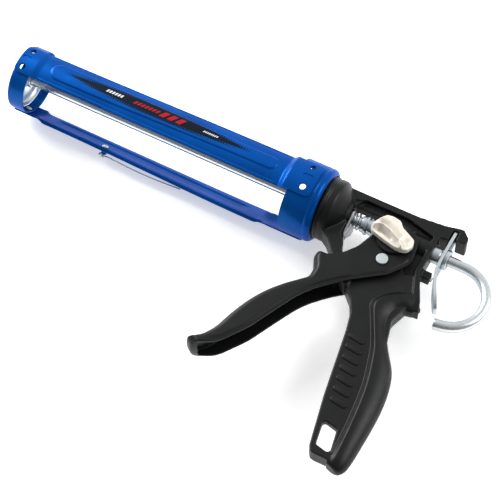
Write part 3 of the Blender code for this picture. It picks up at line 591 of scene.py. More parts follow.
def tray_paint():
    """The blue lacquer with a dark spindle-shaped print whose tips dissolve in dots."""
    look = Look("painted_blue_printed", PAINT_BRIGHT, 0.35, 0.45)
    shifted = look.tree.nodes.new("ShaderNodeVectorMath")
    shifted.operation = "SUBTRACT"
    shifted.inputs[1].default_value = ORIGIN
    look.link(look.place, shifted.inputs[0])
    parts = look.tree.nodes.new("ShaderNodeSeparateXYZ")
    look.link(shifted.outputs["Vector"], parts.inputs["Vector"])
    along = look.math("DIVIDE", parts.outputs["X"], MM)
    across = look.math("DIVIDE", look.math("MULTIPLY", parts.outputs["Y"], -1.0), MM)
    middle = look.math("SUBTRACT", across, PRINT_OFFSET)

    spread = look.math("DIVIDE", look.math("SUBTRACT", along, PRINT_MIDDLE), PRINT_HALF)
    bow = look.math("SUBTRACT", 1.0, look.math("POWER", look.math("ABSOLUTE", spread), PRINT_BLUNT))
    width = look.math("MULTIPLY", bow, PRINT_WIDTH)
    inside = look.math("SUBTRACT", width, look.math("ABSOLUTE", middle))
    solid = look.math("DIVIDE", inside, PRINT_FADE)

    dots_x = look.math("SUBTRACT", look.math("FRACT", look.math("DIVIDE", along, DOT_PITCH)), 0.5)
    dots_y = look.math("SUBTRACT", look.math("FRACT", look.math("DIVIDE", middle, DOT_PITCH)), 0.5)
    squared = look.math("ADD", look.math("MULTIPLY", dots_x, dots_x), look.math("MULTIPLY", dots_y, dots_y))
    dot = look.math("MULTIPLY", look.math("SQRT", squared), 1.7)
    edge = look.math("SUBTRACT", solid, dot)
    mask = look.math("MULTIPLY", edge, 6.0, True)
    inner = look.math("GREATER_THAN", inside, 0.0)
    mask = look.math("MULTIPLY", mask, inner)

    colour = look.mix(mask, paint_colour(look), PRINT_BLACK)
    for start, end, low, high, slant, count, shade in PRINT_BARS:
        lean = look.math("SUBTRACT", along, look.math("MULTIPLY", middle, -slant))
        pitch = (end - start) / count
        phase = look.math("FRACT", look.math("DIVIDE", look.math("SUBTRACT", lean, start), pitch))
        bars = look.math("LESS_THAN", phase, 0.62)
        for value, operation, limit in ((lean, "GREATER_THAN", start), (lean, "LESS_THAN", end),
                                        (middle, "GREATER_THAN", low), (middle, "LESS_THAN", high)):
            bars = look.math("MULTIPLY", bars, look.math(operation, value, limit))
        colour = look.mix(bars, colour, shade)
    look.link(colour, look.shader.inputs["Base Color"])
    metal = look.math("SUBTRACT", 0.45, look.math("MULTIPLY", mask, 0.43))
    look.link(metal, look.shader.inputs["Metallic"])
    paint_finish(look)
    return look.material


def black_nylon():
    """Satin black moulded nylon: fine spark-eroded texture, slight bloom and a painted highlight on convex
    edges.
    """
    look = Look("black_plastic", (0.016, 0.017, 0.018), 0.42, 0.0)
    bloom = look.noise(55.0, 4.0)
    tone = look.ramp(bloom, [(0.30, (0.0028, 0.0031, 0.0033)), (0.75, (0.0050, 0.0055, 0.0058))])
    # Painted highlight: convex edges are lightened to a dark grey.
    look.link(look.mix(look.math("MULTIPLY", look.edges(), 0.5), tone, (0.022, 0.023, 0.025)),
        look.shader.inputs["Base Color"])
    look.link(look.between(look.noise(240.0, 4.0), 0.34, 0.50), look.shader.inputs["Roughness"])
    look.set(Specular_IOR_Level=0.25)
    grain = look.bump(look.noise(2600.0, 2.0, 0.6), 0.22, 0.00006)
    look.bump(look.noise(120.0, 2.0), 0.10, 0.00030, grain)
    return look.material


def plated(name, colour, tint, low, high, stretch=(1.0, 1.0, 1.0), metallic=1.0):
    """Bright plating: drifts between two tints, with fine drawn or tumbled marks."""
    look = Look(name, colour, (low + high) / 2.0, metallic)
    drift = look.noise(70.0, 3.0)
    stains = look.ramp(drift, [(0.32, colour), (0.70, tint)])
    marks = look.noise(900.0, 4.0, 0.6, look.stretched(stretch))
    shade = look.between(marks, 0.90, 1.0)
    dulled = look.multiply(1.0, stains, look.ramp(shade, [(0.0, (0, 0, 0)), (1.0, (1, 1, 1))]))
    look.link(dulled, look.shader.inputs["Base Color"])
    look.link(look.between(marks, low, high), look.shader.inputs["Roughness"])
    look.bump(marks, 0.05, 0.00002)
    look.set(Specular_Tint=(0.42, 0.47, 0.50, 1.0))
    return look.material


def ivory():
    """Warm pale grey cast knob: faint speckle, and painted shade that darkens the hollows."""
    look = Look("ivory_plastic", (0.56, 0.52, 0.45), 0.42, 0.0)
    speck = look.ramp(look.noise(300.0, 3.0), [(0.30, (0.72, 0.68, 0.60)), (0.70, (0.80, 0.76, 0.68))])
    # Painted shade: the hollows, found by their pointiness, are darkened to a brown grey.
    hollows = look.tree.nodes.new("ShaderNodeNewGeometry").outputs["Pointiness"]
    shade = look.ramp(hollows, [(0.44, (0.40, 0.36, 0.30)), (0.52, (1.0, 1.0, 1.0))])
    dulled = look.multiply(0.6, speck, shade)
    look.link(dulled, look.shader.inputs["Base Color"])
    look.link(look.between(look.noise(300.0, 3.0), 0.34, 0.50), look.shader.inputs["Roughness"])
    look.bump(look.noise(1500.0, 2.0), 0.06, 0.00004)
    return look.material


def black_oxide():
    look = Look("black_steel", (0.03, 0.031, 0.034), 0.4, 0.6)
    look.link(look.ramp(look.noise(160.0, 4.0), [(0.3, (0.016, 0.017, 0.020)),
        (0.75, (0.050, 0.052, 0.058))]), look.shader.inputs["Base Color"])
    look.link(look.between(look.noise(600.0, 3.0), 0.30, 0.52), look.shader.inputs["Roughness"])
    look.bump(look.noise(1200.0, 3.0), 0.15, 0.00006)
    return look.material


# ---------------------------------------------------------------- cradle

def hole_cutters(x, radius):
    """The two round holes that go through a ring and the tray's tab on it."""
    cutters = []
    for side in (-1, 1):
        direction = Vector(barrel(0.0, TAB_ANGLE + side * TAB_HOLE_ANGLE, 1.0))
        cutters.append(drum("hole", (x, 0.0, 0.0), direction, radius - 6.0, radius + 6.0, TAB_HOLE_R, 0.02,
            0.0, 40))
    return cutters


def rivet_hole(x, along_width):
    base, direction = strut_axis(x, along_width)
    return drum("rivet_hole", base, direction, 20.0, 36.0, 1.8, 0.02, 0.0, 32)


def front_ring():
    inner = FRONT_RING_R - RING_WALL
    bend = 2.6
    profile = [(FRONT_RING_END, FRONT_RING_R - 0.2), (FRONT_RING_END - 0.2, FRONT_RING_R)]
    profile += arc(bend, FRONT_RING_R - bend, bend, 90.0, 180.0)
    profile += [(0.0, FRONT_HOLE_R + 0.3), (0.3, FRONT_HOLE_R), (RING_WALL - 0.3, FRONT_HOLE_R),
        (RING_WALL, FRONT_HOLE_R + 0.3)]
    profile += arc(bend, FRONT_RING_R - bend, bend - RING_WALL, 180.0, 90.0)
    profile += [(FRONT_RING_END - 0.2, inner), (FRONT_RING_END, inner + 0.2)]
    ring = turned("front_ring_shell", profile, 144)
    return cut(ring, rivet_hole(FRONT_RIVET_X, 0.0), *hole_cutters(FRONT_TAB_X, FRONT_RING_R))


def rear_ring():
    inner = REAR_RING_R - RING_WALL
    bend = 4.0
    profile = [(REAR_RING_START, inner + 0.2), (REAR_RING_START, REAR_RING_R - 0.3),
        (REAR_RING_START + 0.3, REAR_RING_R), (REAR_RING_END - 6.4, REAR_RING_R),
        (REAR_RING_END - 5.8, REAR_RING_R - 0.25), (REAR_RING_END - 5.2, REAR_RING_R)]
    profile += arc(REAR_RING_END - bend, REAR_RING_R - bend, bend, 90.0, 0.0, 10)
    profile += [(REAR_RING_END - 0.1, LIP_R), (REAR_RING_END - RING_WALL + 0.1, LIP_R)]
    profile += arc(REAR_RING_END - bend, REAR_RING_R - bend, bend - RING_WALL, 0.0, 90.0, 10)
    ring = turned("rear_ring_shell", profile, 144)
    return cut(ring, rivet_hole(REAR_RIVET_X, 0.0), *hole_cutters(REAR_TAB_X, REAR_RING_R))


def tray_radius(x):
    """Mid-surface radius: over the front ring, down to the trough, and up over the rear ring."""
    front = FRONT_RING_R + GAP + SHEET / 2.0
    rear = REAR_RING_R + GAP + SHEET / 2.0
    trough = 26.3 + 1.3 * smoothstep(x, 22.0, 230.0)
    radius = front + (trough - front) * smoothstep(x, 16.0, 22.5)
    return radius + (rear - radius) * smoothstep(x, 236.5, 242.0)


def tray_half_angle(x):
    body = 31.0 + 2.0 * smoothstep(x, 22.0, 230.0)
    neck = 30.0 + (body - 30.0) * smoothstep(x, 16.0, 24.0)
    return neck + (30.0 - neck) * smoothstep(x, 236.0, 244.0)


def stadium(x, angle, start, end, half, edge):
    """1 inside a long round-ended field on the tray and 0 outside; half and edge are in degrees."""
    reach = half / DEGREES_PER_MM
    past = max(start + reach - x, x - (end - reach), 0.0)
    distance = math.hypot(past * DEGREES_PER_MM, angle)
    return 1.0 - smoothstep(distance, half - edge, half)


def tray_rise(x, angle):
    """What stands up from the plain trough: the raised panel and the edge beads."""
    half = 17.0 - 5.0 * smoothstep(x, 60.0, 228.0)
    rise = 0.75 * stadium(x, angle + 0.5, 29.5, 230.0, half, 2.6)
    body = smoothstep(x, 21.0, 27.0) * (1.0 - smoothstep(x, 232.0, 238.0))
    margin = tray_half_angle(x) - abs(angle - TRAY_ANGLE)
    rise += 0.45 * body * smoothstep(margin, 1.2, 2.6) * (1.0 - smoothstep(margin, 3.2, 4.8))
    return rise


def tray():
    steps = 84
    rows = []
    finer = ((TRAY_START, 14.0, 0.5), (14.0, 40.0, 0.7), (218.0, TRAY_END, 0.6))
    for x in stations(TRAY_START, TRAY_END, 2.0, finer):
        half = tray_half_angle(x)
        half -= math.degrees(corner_inset(x, TRAY_START, TRAY_END, TRAY_CORNER) / 28.0)
        body = smoothstep(x, 16.0, 24.0) * (1.0 - smoothstep(x, 236.0, 244.0))
        centre = TAB_ANGLE + (TRAY_ANGLE - TAB_ANGLE) * body
        angles = [centre + half * (2.0 * k / steps - 1.0) for k in range(steps + 1)]
        rows.append([barrel(x, a, tray_radius(x) + tray_rise(x, a)) for a in angles])
    trough = sheet("tray_pressing", rows, SHEET, 0.0, 0.3)
    tabs = ((FRONT_TAB_X, FRONT_RING_R), (REAR_TAB_X, REAR_RING_R))
    cutters = [tab_slot(*tab) for tab in tabs]
    for tab in tabs:
        cutters += hole_cutters(*tab)
    return cut(trough, *cutters)


def tab_slot(x, ring_radius):
    """The round-ended recess between a tab's two holes."""
    floor_height = ring_radius + GAP + 0.45
    return plate("slot", [(x - 4.2, -1.0, 1.5), (x + 4.2, -1.0, 1.5), (x + 4.2, 2.1, 1.5),
        (x - 4.2, 2.1, 1.5)], floor_height, floor_height + 6.0, 0.0, 12.0)


def strut_directions():
    """The way out from the rod through the strut's middle, and the way across the strut's width."""
    a = math.radians(STRUT_ANGLE)
    return Vector((0.0, -math.sin(a), math.cos(a))), Vector((0.0, -math.cos(a), -math.sin(a)))


def strut_point(x, along_width, radius, wrap):
    """A point of the strut: flat across its width, or wrapped round the barrel where wrap is 1."""
    outward, across = strut_directions()
    flat = Vector((x, 0.0, 0.0)) + outward * radius + across * along_width
    curved = Vector(barrel(x, STRUT_ANGLE + math.degrees(along_width / radius), radius))
    return flat.lerp(curved, wrap)


def strut_axis(x, along_width):
    """A foot point on the rod's axis and the direction in which it leaves through the strut."""
    outward, across = strut_directions()
    return Vector((x, 0.0, 0.0)) + across * along_width, outward


def strut_section(half, edge, folded, bead):
    """Half of the strut's section, from its edge to its middle: (along width, lift). Flat at its ends, and
    folded to a channel with a bead along its middle in between."""
    channel = [(half, STRUT_FLANGE), (half, 1.9), (half, 1.3), (half - 0.15, 0.8), (half - 0.5, 0.35),
        (half - 1.0, 0.08), (half - 1.6, 0.0), (0.62 * half, 0.0), (5.2, 0.0), (4.8, 0.1), (4.4, 0.4),
        (3.9, 0.72), (3.4, 0.82), (2.4, 0.85), (1.2, 0.86), (0.0, 0.86)]
    section = []
    for k, (s, lift) in enumerate(channel):
        flat = edge * (1.0 - k / (len(channel) - 1.0))
        section.append((flat + (s - flat) * folded, lift * (bead if s < 5.1 else folded)))
    return section


def strut():
    front = FRONT_RING_R + GAP
    rear = REAR_RING_R + GAP
    rows = []
    for x in stations(STRUT_START, STRUT_END, 1.0, ((18.0, 44.0, 0.6), (204.0, 238.0, 0.6))):
        bar = 25.8 + 2.4 * smoothstep(x, 30.0, 224.0)
        radius = front + (bar - front) * smoothstep(x, 20.0, 26.0)
        radius += (rear - radius) * smoothstep(x, 225.0, 235.0)
        folded = smoothstep(x, 22.0, 30.0) * (1.0 - smoothstep(x, 222.0, 234.0))
        half = 8.8 + 2.9 * smoothstep(x, 28.0, 226.0)
        edge = 9.6 + 2.0 * smoothstep(x, 28.0, 226.0)
        edge -= corner_inset(x, STRUT_START, STRUT_END, STRUT_CORNER)
        bead = smoothstep(x, 36.0, 44.0) * (1.0 - smoothstep(x, 206.0, 214.0))
        section = strut_section(half, edge, folded, bead)
        row = [strut_point(x, -s, radius + rise, 1.0 - folded) for s, rise in section]
        row += [strut_point(x, s, radius + rise, 1.0 - folded) for s, rise in section[-2::-1]]
        rows.append(row)
    holes = [rivet_hole(*place) for place in ((FRONT_RIVET_X, 0.0), (REAR_RIVET_X, 0.0),
        (NEEDLE_X, NEEDLE_S))]
    return cut(sheet("strut_pressing", rows, SHEET, 1.0, 0.22), *holes)


def rivet(name, x, along_width, inner, outer, thick=0.9):
    """A rivet square to the strut, with a domed head outside and a rolled one inside."""
    base, direction = strut_axis(x, along_width)
    dome = [(outer, 1.5), (outer, 2.5), (outer + 0.2, 2.6), (outer + 0.45, 2.45), (outer + 0.7, 2.0),
        (outer + 0.84, 1.4), (outer + thick, 0.7), (outer + thick, 0.0)]
    roll = [(inner - thick, 0.0), (inner - thick, 0.6), (inner - 0.55, 0.9), (inner - thick, 1.3),
        (inner - 0.8, 2.0), (inner - 0.45, 2.5), (inner - 0.1, 2.6), (inner, 2.4), (inner, 1.5)]
    return turned_at(name, roll + dome, base, direction, 48)


def strut_rivet(name, x, ring_radius):
    inner = ring_radius - RING_WALL - GAP - 0.2
    return rivet(name, x, 0.0, inner, ring_radius + GAP + SHEET + GAP)


def needle_place(x, along_width):
    return strut_point(x, along_width, NEEDLE_R, 0.0)


def seal_needle():
    """The wire that pierces a cartridge's seal: an eye round its rivet and a bowed leg along the strut."""
    points = []
    for k in range(28):
        a = math.radians(60.0 + 10.0 * k)
        x, s = NEEDLE_X + NEEDLE_EYE_R * math.cos(a), NEEDLE_S + NEEDLE_EYE_R * math.sin(a)
        points.append(needle_place(x, s))
    for k in range(49):
        t = k / 48.0
        x, s = NEEDLE_X + 5.0 + NEEDLE_REACH * t, NEEDLE_S - 1.2 - 2.8 * math.sin(math.pi * t)
        points.append(needle_place(x, s))
    return tube("seal_needle_wire", points, 0.75, 6, 0.4)


def needle_spacer():
    base, direction = strut_axis(NEEDLE_X, NEEDLE_S)
    return drum("needle_spacer_post", base, direction, 28.5, 32.1, 2.2, 0.2, 1.8, 40)


# ---------------------------------------------------------------- handle frame

def bell():
    """The turned front of the handle: spigot, thrust flange, cone and the boss round the spring."""
    profile = [(262.0, 7.1), (262.0, 11.6), (262.4, 12.0), (BELL_START, 12.0), (BELL_START, 25.2),
        (272.0, 25.4), (274.2, 25.4), (274.5, 25.1), (274.8, 24.4), (275.6, 24.4), (276.0, 25.0),
        (276.6, 25.2)]
    profile += arc(280.2, 21.6, 3.6, 90.0, 38.0, 6)
    profile += [(290.2, 14.6), (291.4, 12.4), (293.0, 11.0)]
    profile += [(BOSS_END - 0.2, 10.4), (BOSS_END, 9.9), (BOSS_END, 7.8), (280.2, 7.8), (280.2, 7.1)]
    return turned("handle_casting", profile, 96)


# The palm swell's stations down the grip: its side edge, its rear edge and half its width
SWELL = (((367.1, -44.1), (376.0, -50.0), 8.3), ((360.5, -47.8), (372.0, -55.8), 9.0),
    ((354.4, -51.7), (366.5, -57.6), 9.6), ((349.2, -56.5), (362.6, -60.4), 10.2),
    ((345.8, -62.5), (361.0, -66.4), 10.5), ((346.3, -68.2), (361.1, -73.5), 10.5),
    ((349.5, -75.3), (363.8, -82.5), 10.5), ((355.0, -86.0), (370.6, -93.5), 10.5),
    ((361.3, -99.0), (379.6, -107.0), 10.5), ((366.0, -114.0), (384.0, -121.0), 10.5),
    ((369.8, -130.0), (386.2, -137.0), 10.5), ((372.2, -148.0), (386.6, -154.0), 10.5),
    ((373.6, -165.0), (386.2, -170.0), 10.2), ((374.3, -180.0), (385.6, -184.0), 9.4),
    ((374.6, -189.6), (384.4, -192.4), 8.2), ((374.4, -194.4), (381.6, -197.0), 6.4),
    ((374.2, -196.6), (378.4, -198.0), 4.4))
SWELL_STRIP = 4.8


def swell_foot(edge, rear):
    """Where the slanted strip beside the palm swell meets the grip's flat side."""
    outward = (Vector(edge) - Vector(rear)).normalized()
    return Vector(edge) + outward * SWELL_STRIP


def grip_swell():
    """The palm side of the grip: a slanted strip off the flat side, then half an ellipse to the rear."""
    flat = [(*edge, *rear, half, *swell_foot(edge, rear)) for edge, rear, half in SWELL]
    rings = []
    for edge_x, edge_y, rear_x, rear_y, half, foot_x, foot_y in spline(flat, 5):
        low = min(5.9, half - 0.4)
        ring = [(foot_x, foot_y, -low), (foot_x, foot_y, low), (edge_x - 0.5, edge_y, half)]
        for k in range(25):
            a = math.radians(180.0 * k / 24.0)
            ring.append((edge_x + (rear_x - edge_x) * math.sin(a), edge_y + (rear_y - edge_y) * math.sin(a),
                half * math.cos(a)))
        ring.append((edge_x - 0.5, edge_y, -half))
        rings.append(ring)
    return loft("grip_swell", rings)


def spline(stops, pieces):
    """A smooth run through the stops, as tuples of numbers."""
    made = []
    for i in range(len(stops) - 1):
        p0, p1 = stops[max(i - 1, 0)], stops[i]
        p2, p3 = stops[i + 1], stops[min(i + 2, len(stops) - 1)]
        for k in range(pieces):
            t = k / pieces
            made.append(tuple(0.5 *
                (2 * b + (c - a) * t + (2 * a - 5 * b + 4 * c - d) * t * t + (3 * b - a - 3 * c + d) * t * t
                * t) for a, b, c, d in zip(p0, p1, p2, p3)))
    made.append(tuple(stops[-1]))
    return made


def standing(name, outline, x, thickness, edge=0.0):
    """A flat plate square to the rod: the outline is given as (z, y) and the plate starts at x."""
    body = plate(name, outline, 0.0, thickness, edge)
    body.data.transform(Matrix.Translation(mm((x, 0.0, 0.0))) @ Matrix.Rotation(math.radians(90.0), 4, "Y"))
    return body


def handle_body():
    """The handle as one moulding, before its fillets: bell, beam, web, rear flange, leg, grip and bosses."""
    beam = plate("beam", [(279.0, 12.0), (279.0, BEAM_TOP), (340.0, BEAM_TOP - 0.4), (362.0, 22.6),
        (373.5, 25.3, 2.0), (376.8, 25.7, 1.5), (382.6, 20.0, 1.5), (383.2, 14.2, 1.5), (374.5, 14.3),
        (374.5, 22.0), (369.3, 22.0), (369.3, 12.0), (362.8, 11.0), (362.8, 2.0), (358.6, 2.0),
        (358.6, 9.0), (335.0, 15.2), (300.0, 15.6), (291.0, 12.0)], -BEAM_HALF, BEAM_HALF)
    flange = plate("rear_flange", [(358.8, 4.0), (358.8, -25.0, 10.0), (364.5, -40.0), (368.0, -50.0),
        (367.6, -55.2), (375.9, -54.6), (373.3, -46.5), (368.4, -36.5), (362.9, -24.0, 10.0), (362.9, 4.0)],
        -BEAM_HALF, BEAM_HALF)
    taper = ((8.7, -41.0), (12.0, -41.0), (12.0, -60.0), (4.2, -60.0), (4.8, -56.0), (6.2, -52.0),
        (7.8, -46.5))
    flange = cut(flange, *[standing("heel", [(side * z, y) for z, y in taper], 350.0, 40.0) for side in (-1,
        1)])
    web = plate("web", [(286.0, WINDOW_TOP), (286.0, 18.0), (360.0, 18.0), (360.0, -26.0), (368.0, -44.0),
        (372.0, -56.0), (352.0, -60.0), (338.0, -46.0), (338.0, -20.0), (343.0, -14.0),
        (343.0, WINDOW_TOP)], -WEB_HALF, WEB_HALF)
    leg = plate("leg", [(277.0, -12.0), (277.0, -22.0), (286.9, -28.3), (296.5, -39.0), (311.0, -57.0),
        (320.0, -60.0), (318.0, -42.0), (304.5, -38.5), (300.6, -26.0, 3.0), (295.4, -20.6, 3.0),
        (295.4, -9.0), (286.0, -6.0)], -8.0, 8.0)
    root = plate("root", [(303.0, -39.5), (318.0, -38.0), (323.0, -25.0, 4.0), (329.0, -20.5, 3.0),
        (342.0, -20.5, 3.0), (352.0, -30.0), (360.0, -27.0), (368.0, -46.0), (366.0, -56.0, 6.0),
        (361.4, -70.0, 8.0), (366.0, -88.0, 20.0), (380.0, -112.0, 20.0), (384.0, -150.0, 40.0),
        (380.0, -196.6, 5.0), (373.0, -193.8), (369.2, -193.2), (359.2, -193.3, 2.0), (356.0, -192.6, 2.0),
        (353.4, -188.5, 3.0), (344.6, -148.0, 60.0), (335.2, -94.0, 30.0), (331.5, -78.5, 10.0),
        (326.0, -68.0, 6.0), (318.5, -60.5)], -FLAT_HALF, FLAT_HALF)
    boss = drum("boss", (*PIVOT, 0.0), ACROSS, -8.9, 8.9, 7.0)
    housing = drum("housing", (0, 0, 0), ALONG, 341.0, 363.0, 9.0)
    lug = plate("lug", [(361.0, -17.6), (370.3, -17.6), (370.3, -24.6), (361.0, -24.6)], -4.0, 4.0)
    gusset = plate("gusset", [(284.0, 8.0), (293.4, 8.4), (296.0, 12.2), (299.4, 16.6), (284.0, 16.6)],
        -7.5, 7.5)
    pieces = (bell(), beam, web, flange, root, leg, boss, housing, lug, gusset, grip_swell())
    return merged(*[cut(piece, *handle_cutters()) for piece in pieces])


def handle_cutters():
    window = plate("window", [(294.5, -20.6, 3.0), (300.0, -26.0, 3.0), (301.7, -32.4, 3.0),
        (304.0, -35.6, 1.5), (316.0, -34.6, 1.5), (321.0, -24.0, 4.0), (327.0, -18.6, 3.0),
        (341.8, -18.6, 3.0), (341.8, WINDOW_TOP), (294.5, WINDOW_TOP)], -15.0, 15.0)
    hole = plate("hanging_hole", [(353.5, -166.1, 2.3), (365.3, -168.7, 2.3), (369.2, -188.5, 2.3),
        (357.0, -185.9, 2.3)], -15.0, 15.0)
    pocket = plate("hanging_pocket", [(351.6, -161.5, 4.0), (364.8, -164.4, 4.0), (370.0, -190.0, 4.0),
        (355.4, -187.4, 4.0)], -15.0, 0.5)
    return [drum("rod_bore", (0, 0, 0), ALONG, 330.0, 366.0, 6.9, CUTTER_EDGE),
        drum("spring_bore", (0, 0, 0), ALONG, 280.3, 300.0, 7.8, CUTTER_EDGE),
        drum("pin_bore", (*PIVOT, 0.0), ACROSS, -15.0, 15.0, PIN_R + GAP, CUTTER_EDGE),
        drum("spring_pocket", (0.0, -21.1, 0.0), ALONG, 364.0, 375.0, 2.6, CUTTER_EDGE), window, hole, pocket]


def handle_frame():
    return moulded(handle_body(), 0.6, 4, 0.45)


def grip_bead(side):
    """The raised line at the foot of the slanted strip, down the whole grip."""
    foot = [tuple(swell_foot(edge, rear)) for edge, rear, _ in SWELL[1:-2]]
    line = [(x + 0.4, y, side * (FLAT_HALF - 0.1)) for x, y in spline(foot, 10)]
    return tube("grip_bead_left" if side > 0 else "grip_bead_right", line, 0.8, 5, 0.3)


def grip_pads():
    """The seven slanted round-ended pads on the left flat side of the grip."""
    pads = []
    for k in range(7):
        x, y = 338.3 + 1.92 * k, -95.2 - 8.83 * k
        corners = [(x - 0.5, y - 2.5, 2.2), (x + 13.0, y - 4.4, 2.2), (x + 14.4, y + 0.2, 2.2),
                   (x + 0.9, y + 2.3, 2.2)]
        pads.append(plate("pad", corners, FLAT_HALF - 0.8, FLAT_HALF + 0.8, 0.7))
    pads[0].name = "grip_pads_left"
    return merged(*pads)


# ---------------------------------------------------------------- trigger

TRIGGER_FRONT = [(234.6, -154.2, 1.5), (243.6, -147.6, 20.0), (249.4, -137.2, 40.0), (253.6, -122.0, 90.0),
    (259.0, -106.5, 90.0), (267.4, -91.0, 90.0), (277.0, -79.2, 60.0), (290.6, -65.6, 6.0),
    (290.6, -58.0, 8.0), (286.0, -48.5, 6.0), (286.6, -41.0, 3.5), (294.5, -41.2, 3.0), (304.8, -36.4, 8.0),
    (311.8, -26.2, 20.0), (317.0, -11.0, 6.0)]
TRIGGER_LOBE = [(318.0, 5.5, 15.0), (350.5, 6.5, 16.0)]
TRIGGER_REAR = [(354.0, -22.0, 12.0), (342.5, -38.5, 20.0), (327.6, -49.4, 30.0), (310.0, -63.5, 90.0),
    (294.0, -80.5, 90.0), (284.5, -100.0, 120.0), (272.0, -127.0, 60.0), (257.0, -149.2, 30.0),
    (241.0, -159.0, 3.0)]


def line_distance(places, line):
    """The distance from each (x, y) place to a line through points, all in millimetres."""
    nearest = numpy.full(len(places), 1e9)
    for a, b in zip(line, line[1:]):
        a, b = numpy.array(a), numpy.array(b)
        along = b - a
        t = numpy.clip(((places - a) @ along) / max(along @ along, 1e-9), 0.0, 1.0)
        nearest = numpy.minimum(nearest, numpy.linalg.norm(places - a - t[:, None] * along, axis=1))
    return nearest


def vertices(obj):
    places = numpy.empty(len(obj.data.vertices) * 3)
    obj.data.vertices.foreach_get("co", places)
    return places.reshape(-1, 3) / MM


def set_vertices(obj, places):
    obj.data.vertices.foreach_set("co", (places * MM).ravel())
    obj.data.update()


def trigger():
    """A channel lever, open to the grip, with a big round at its front edge and a low border behind."""
    lever = plate("trigger_lever", TRIGGER_FRONT + TRIGGER_LOBE + TRIGGER_REAR, -CHEEK_OUT, CHEEK_OUT, 0.0,
        5.0)
    inside = plate("inside", [(240.6, -153.6), (247.0, -147.4, 8.0), (251.6, -138.6, 10.0),
        (255.2, -124.0, 30.0), (259.6, -110.0, 30.0), (267.6, -95.2, 30.0), (277.4, -82.0, 20.0),
        (293.4, -66.2, 5.0), (293.2, -57.0, 8.0), (288.8, -48.0, 5.0), (288.8, -43.2), (280.0, -36.0),
        (290.0, 20.0), (370.0, 20.0), (370.0, -60.0), (300.0, -90.0), (262.0, -160.0), (244.0, -155.6)],
        -CHEEK_IN, CHEEK_IN)
    bores = [drum("bore", (*centre, 0.0), ACROSS, -15.0, 15.0, radius, CUTTER_EDGE) for centre,
        radius in ((PIVOT, PIN_R + GAP), (KNOB, SHAFT_R + GAP))]
    lever = moulded(cut(lever, inside, *bores), 0.5, 0, 1.0)

    outline = [tuple(p) for p in rounded(TRIGGER_FRONT + TRIGGER_LOBE + TRIGGER_REAR, 5.0)]
    top = min(range(len(outline)), key=lambda i: math.dist(outline[i], TRIGGER_FRONT[-1][:2]))
    low = min(range(len(outline)), key=lambda i: math.dist(outline[i], TRIGGER_REAR[0][:2]))
    places = vertices(lever)
    ahead = line_distance(places[:, :2], [TRIGGER_REAR[-1][:2]] + outline[:top])
    behind = line_distance(places[:, :2], outline[low:])
    radius = TRIGGER_ROUND - (TRIGGER_ROUND - LOBE_ROUND) * smoothstep(places[:, 0], 292.0, 306.0)
    short = radius - numpy.minimum(ahead, radius)
    limit = CHEEK_OUT - radius + numpy.sqrt(radius ** 2 - short ** 2)
    border = BORDER_DEPTH * (1.0 - smoothstep(behind, 2.5, 3.3))
    border *= smoothstep(places[:, 0], 246.0, 262.0)
    limit = numpy.minimum(limit, CHEEK_OUT - border)
    places[:, 2] = numpy.clip(places[:, 2], -limit, limit)
    outer = smoothstep(abs(places[:, 2]), CHEEK_OUT - 2.0, CHEEK_OUT)
    swell = LEVER_SWELL * (1.0 - smoothstep(places[:, 0] + 0.5 * places[:, 1], 290.0, 302.0))
    places[:, 2] += numpy.sign(places[:, 2]) * outer * swell
    curl = (places[:, 2] / CHEEK_OUT) ** 2 * (1.0 - smoothstep(places[:, 0], 238.0, 264.0))
    places[:, 1] += TIP_CURL * curl
    set_vertices(lever, places)
    return moulded(lever, 0.5, 3, 0.4)


def trigger_pin():
    head = CHEEK_OUT + GAP
    profile = [(-13.2, 0.0), (-13.2, 2.6), (-12.8, PIN_R), (-11.7, PIN_R), (-11.7, 2.4), (-10.8, 2.4),
        (-10.8, PIN_R), (head, PIN_R), (head, 4.4), (head + 0.2, 4.6), (head + 0.8, 4.6),
        (head + 1.05, 4.45), (head + 1.15, 4.1), (head + 1.18, 2.0), (head + 1.2, 0.0)]
    return turned_at("trigger_pin_turned", profile, (*PIVOT, 0.0), (0, 0, 1), 64)


def pin_clip():
    """The open retaining ring in the groove at the pin's far end."""
    ring = drum("pin_clip_ring", (*PIVOT, 0.0), ACROSS, -12.5, -11.8, 5.0, 0.12, PIN_R + 0.15)
    gap = plate("gap", [(PIVOT[0] - 1.6, PIVOT[1]), (PIVOT[0] + 1.6, PIVOT[1]),
        (PIVOT[0] + 1.6, PIVOT[1] - 8.0), (PIVOT[0] - 1.6, PIVOT[1] - 8.0)], -14.0, -10.0)
    return cut(ring, gap)


# ---------------------------------------------------------------- selector

WING_THICK = 4.8
KNOB_RIB_LIFT = 4.6
KNOB_RIB = ((317.2, -9.2), (320.0, -7.2), (323.4, -6.8), (330.5, -9.2), (339.4, -13.8), (342.6, -17.6))
KNOB_HOLLOW = ((320.0, -2.2), (324.6, -2.2), (330.6, -4.6), (337.6, -8.4))
KNOB_LOW_HOLLOW = ((321.0, -10.6), (326.0, -11.0), (332.0, -13.2))
KNOB_DISH = ((345.2, -10.4), (347.0, -12.6))
KNOB_DIPS = ((KNOB_HOLLOW, 3.3, 1.9), (KNOB_LOW_HOLLOW, 1.7, 1.4), (KNOB_DISH, 1.5, 2.6))  # depth, reach


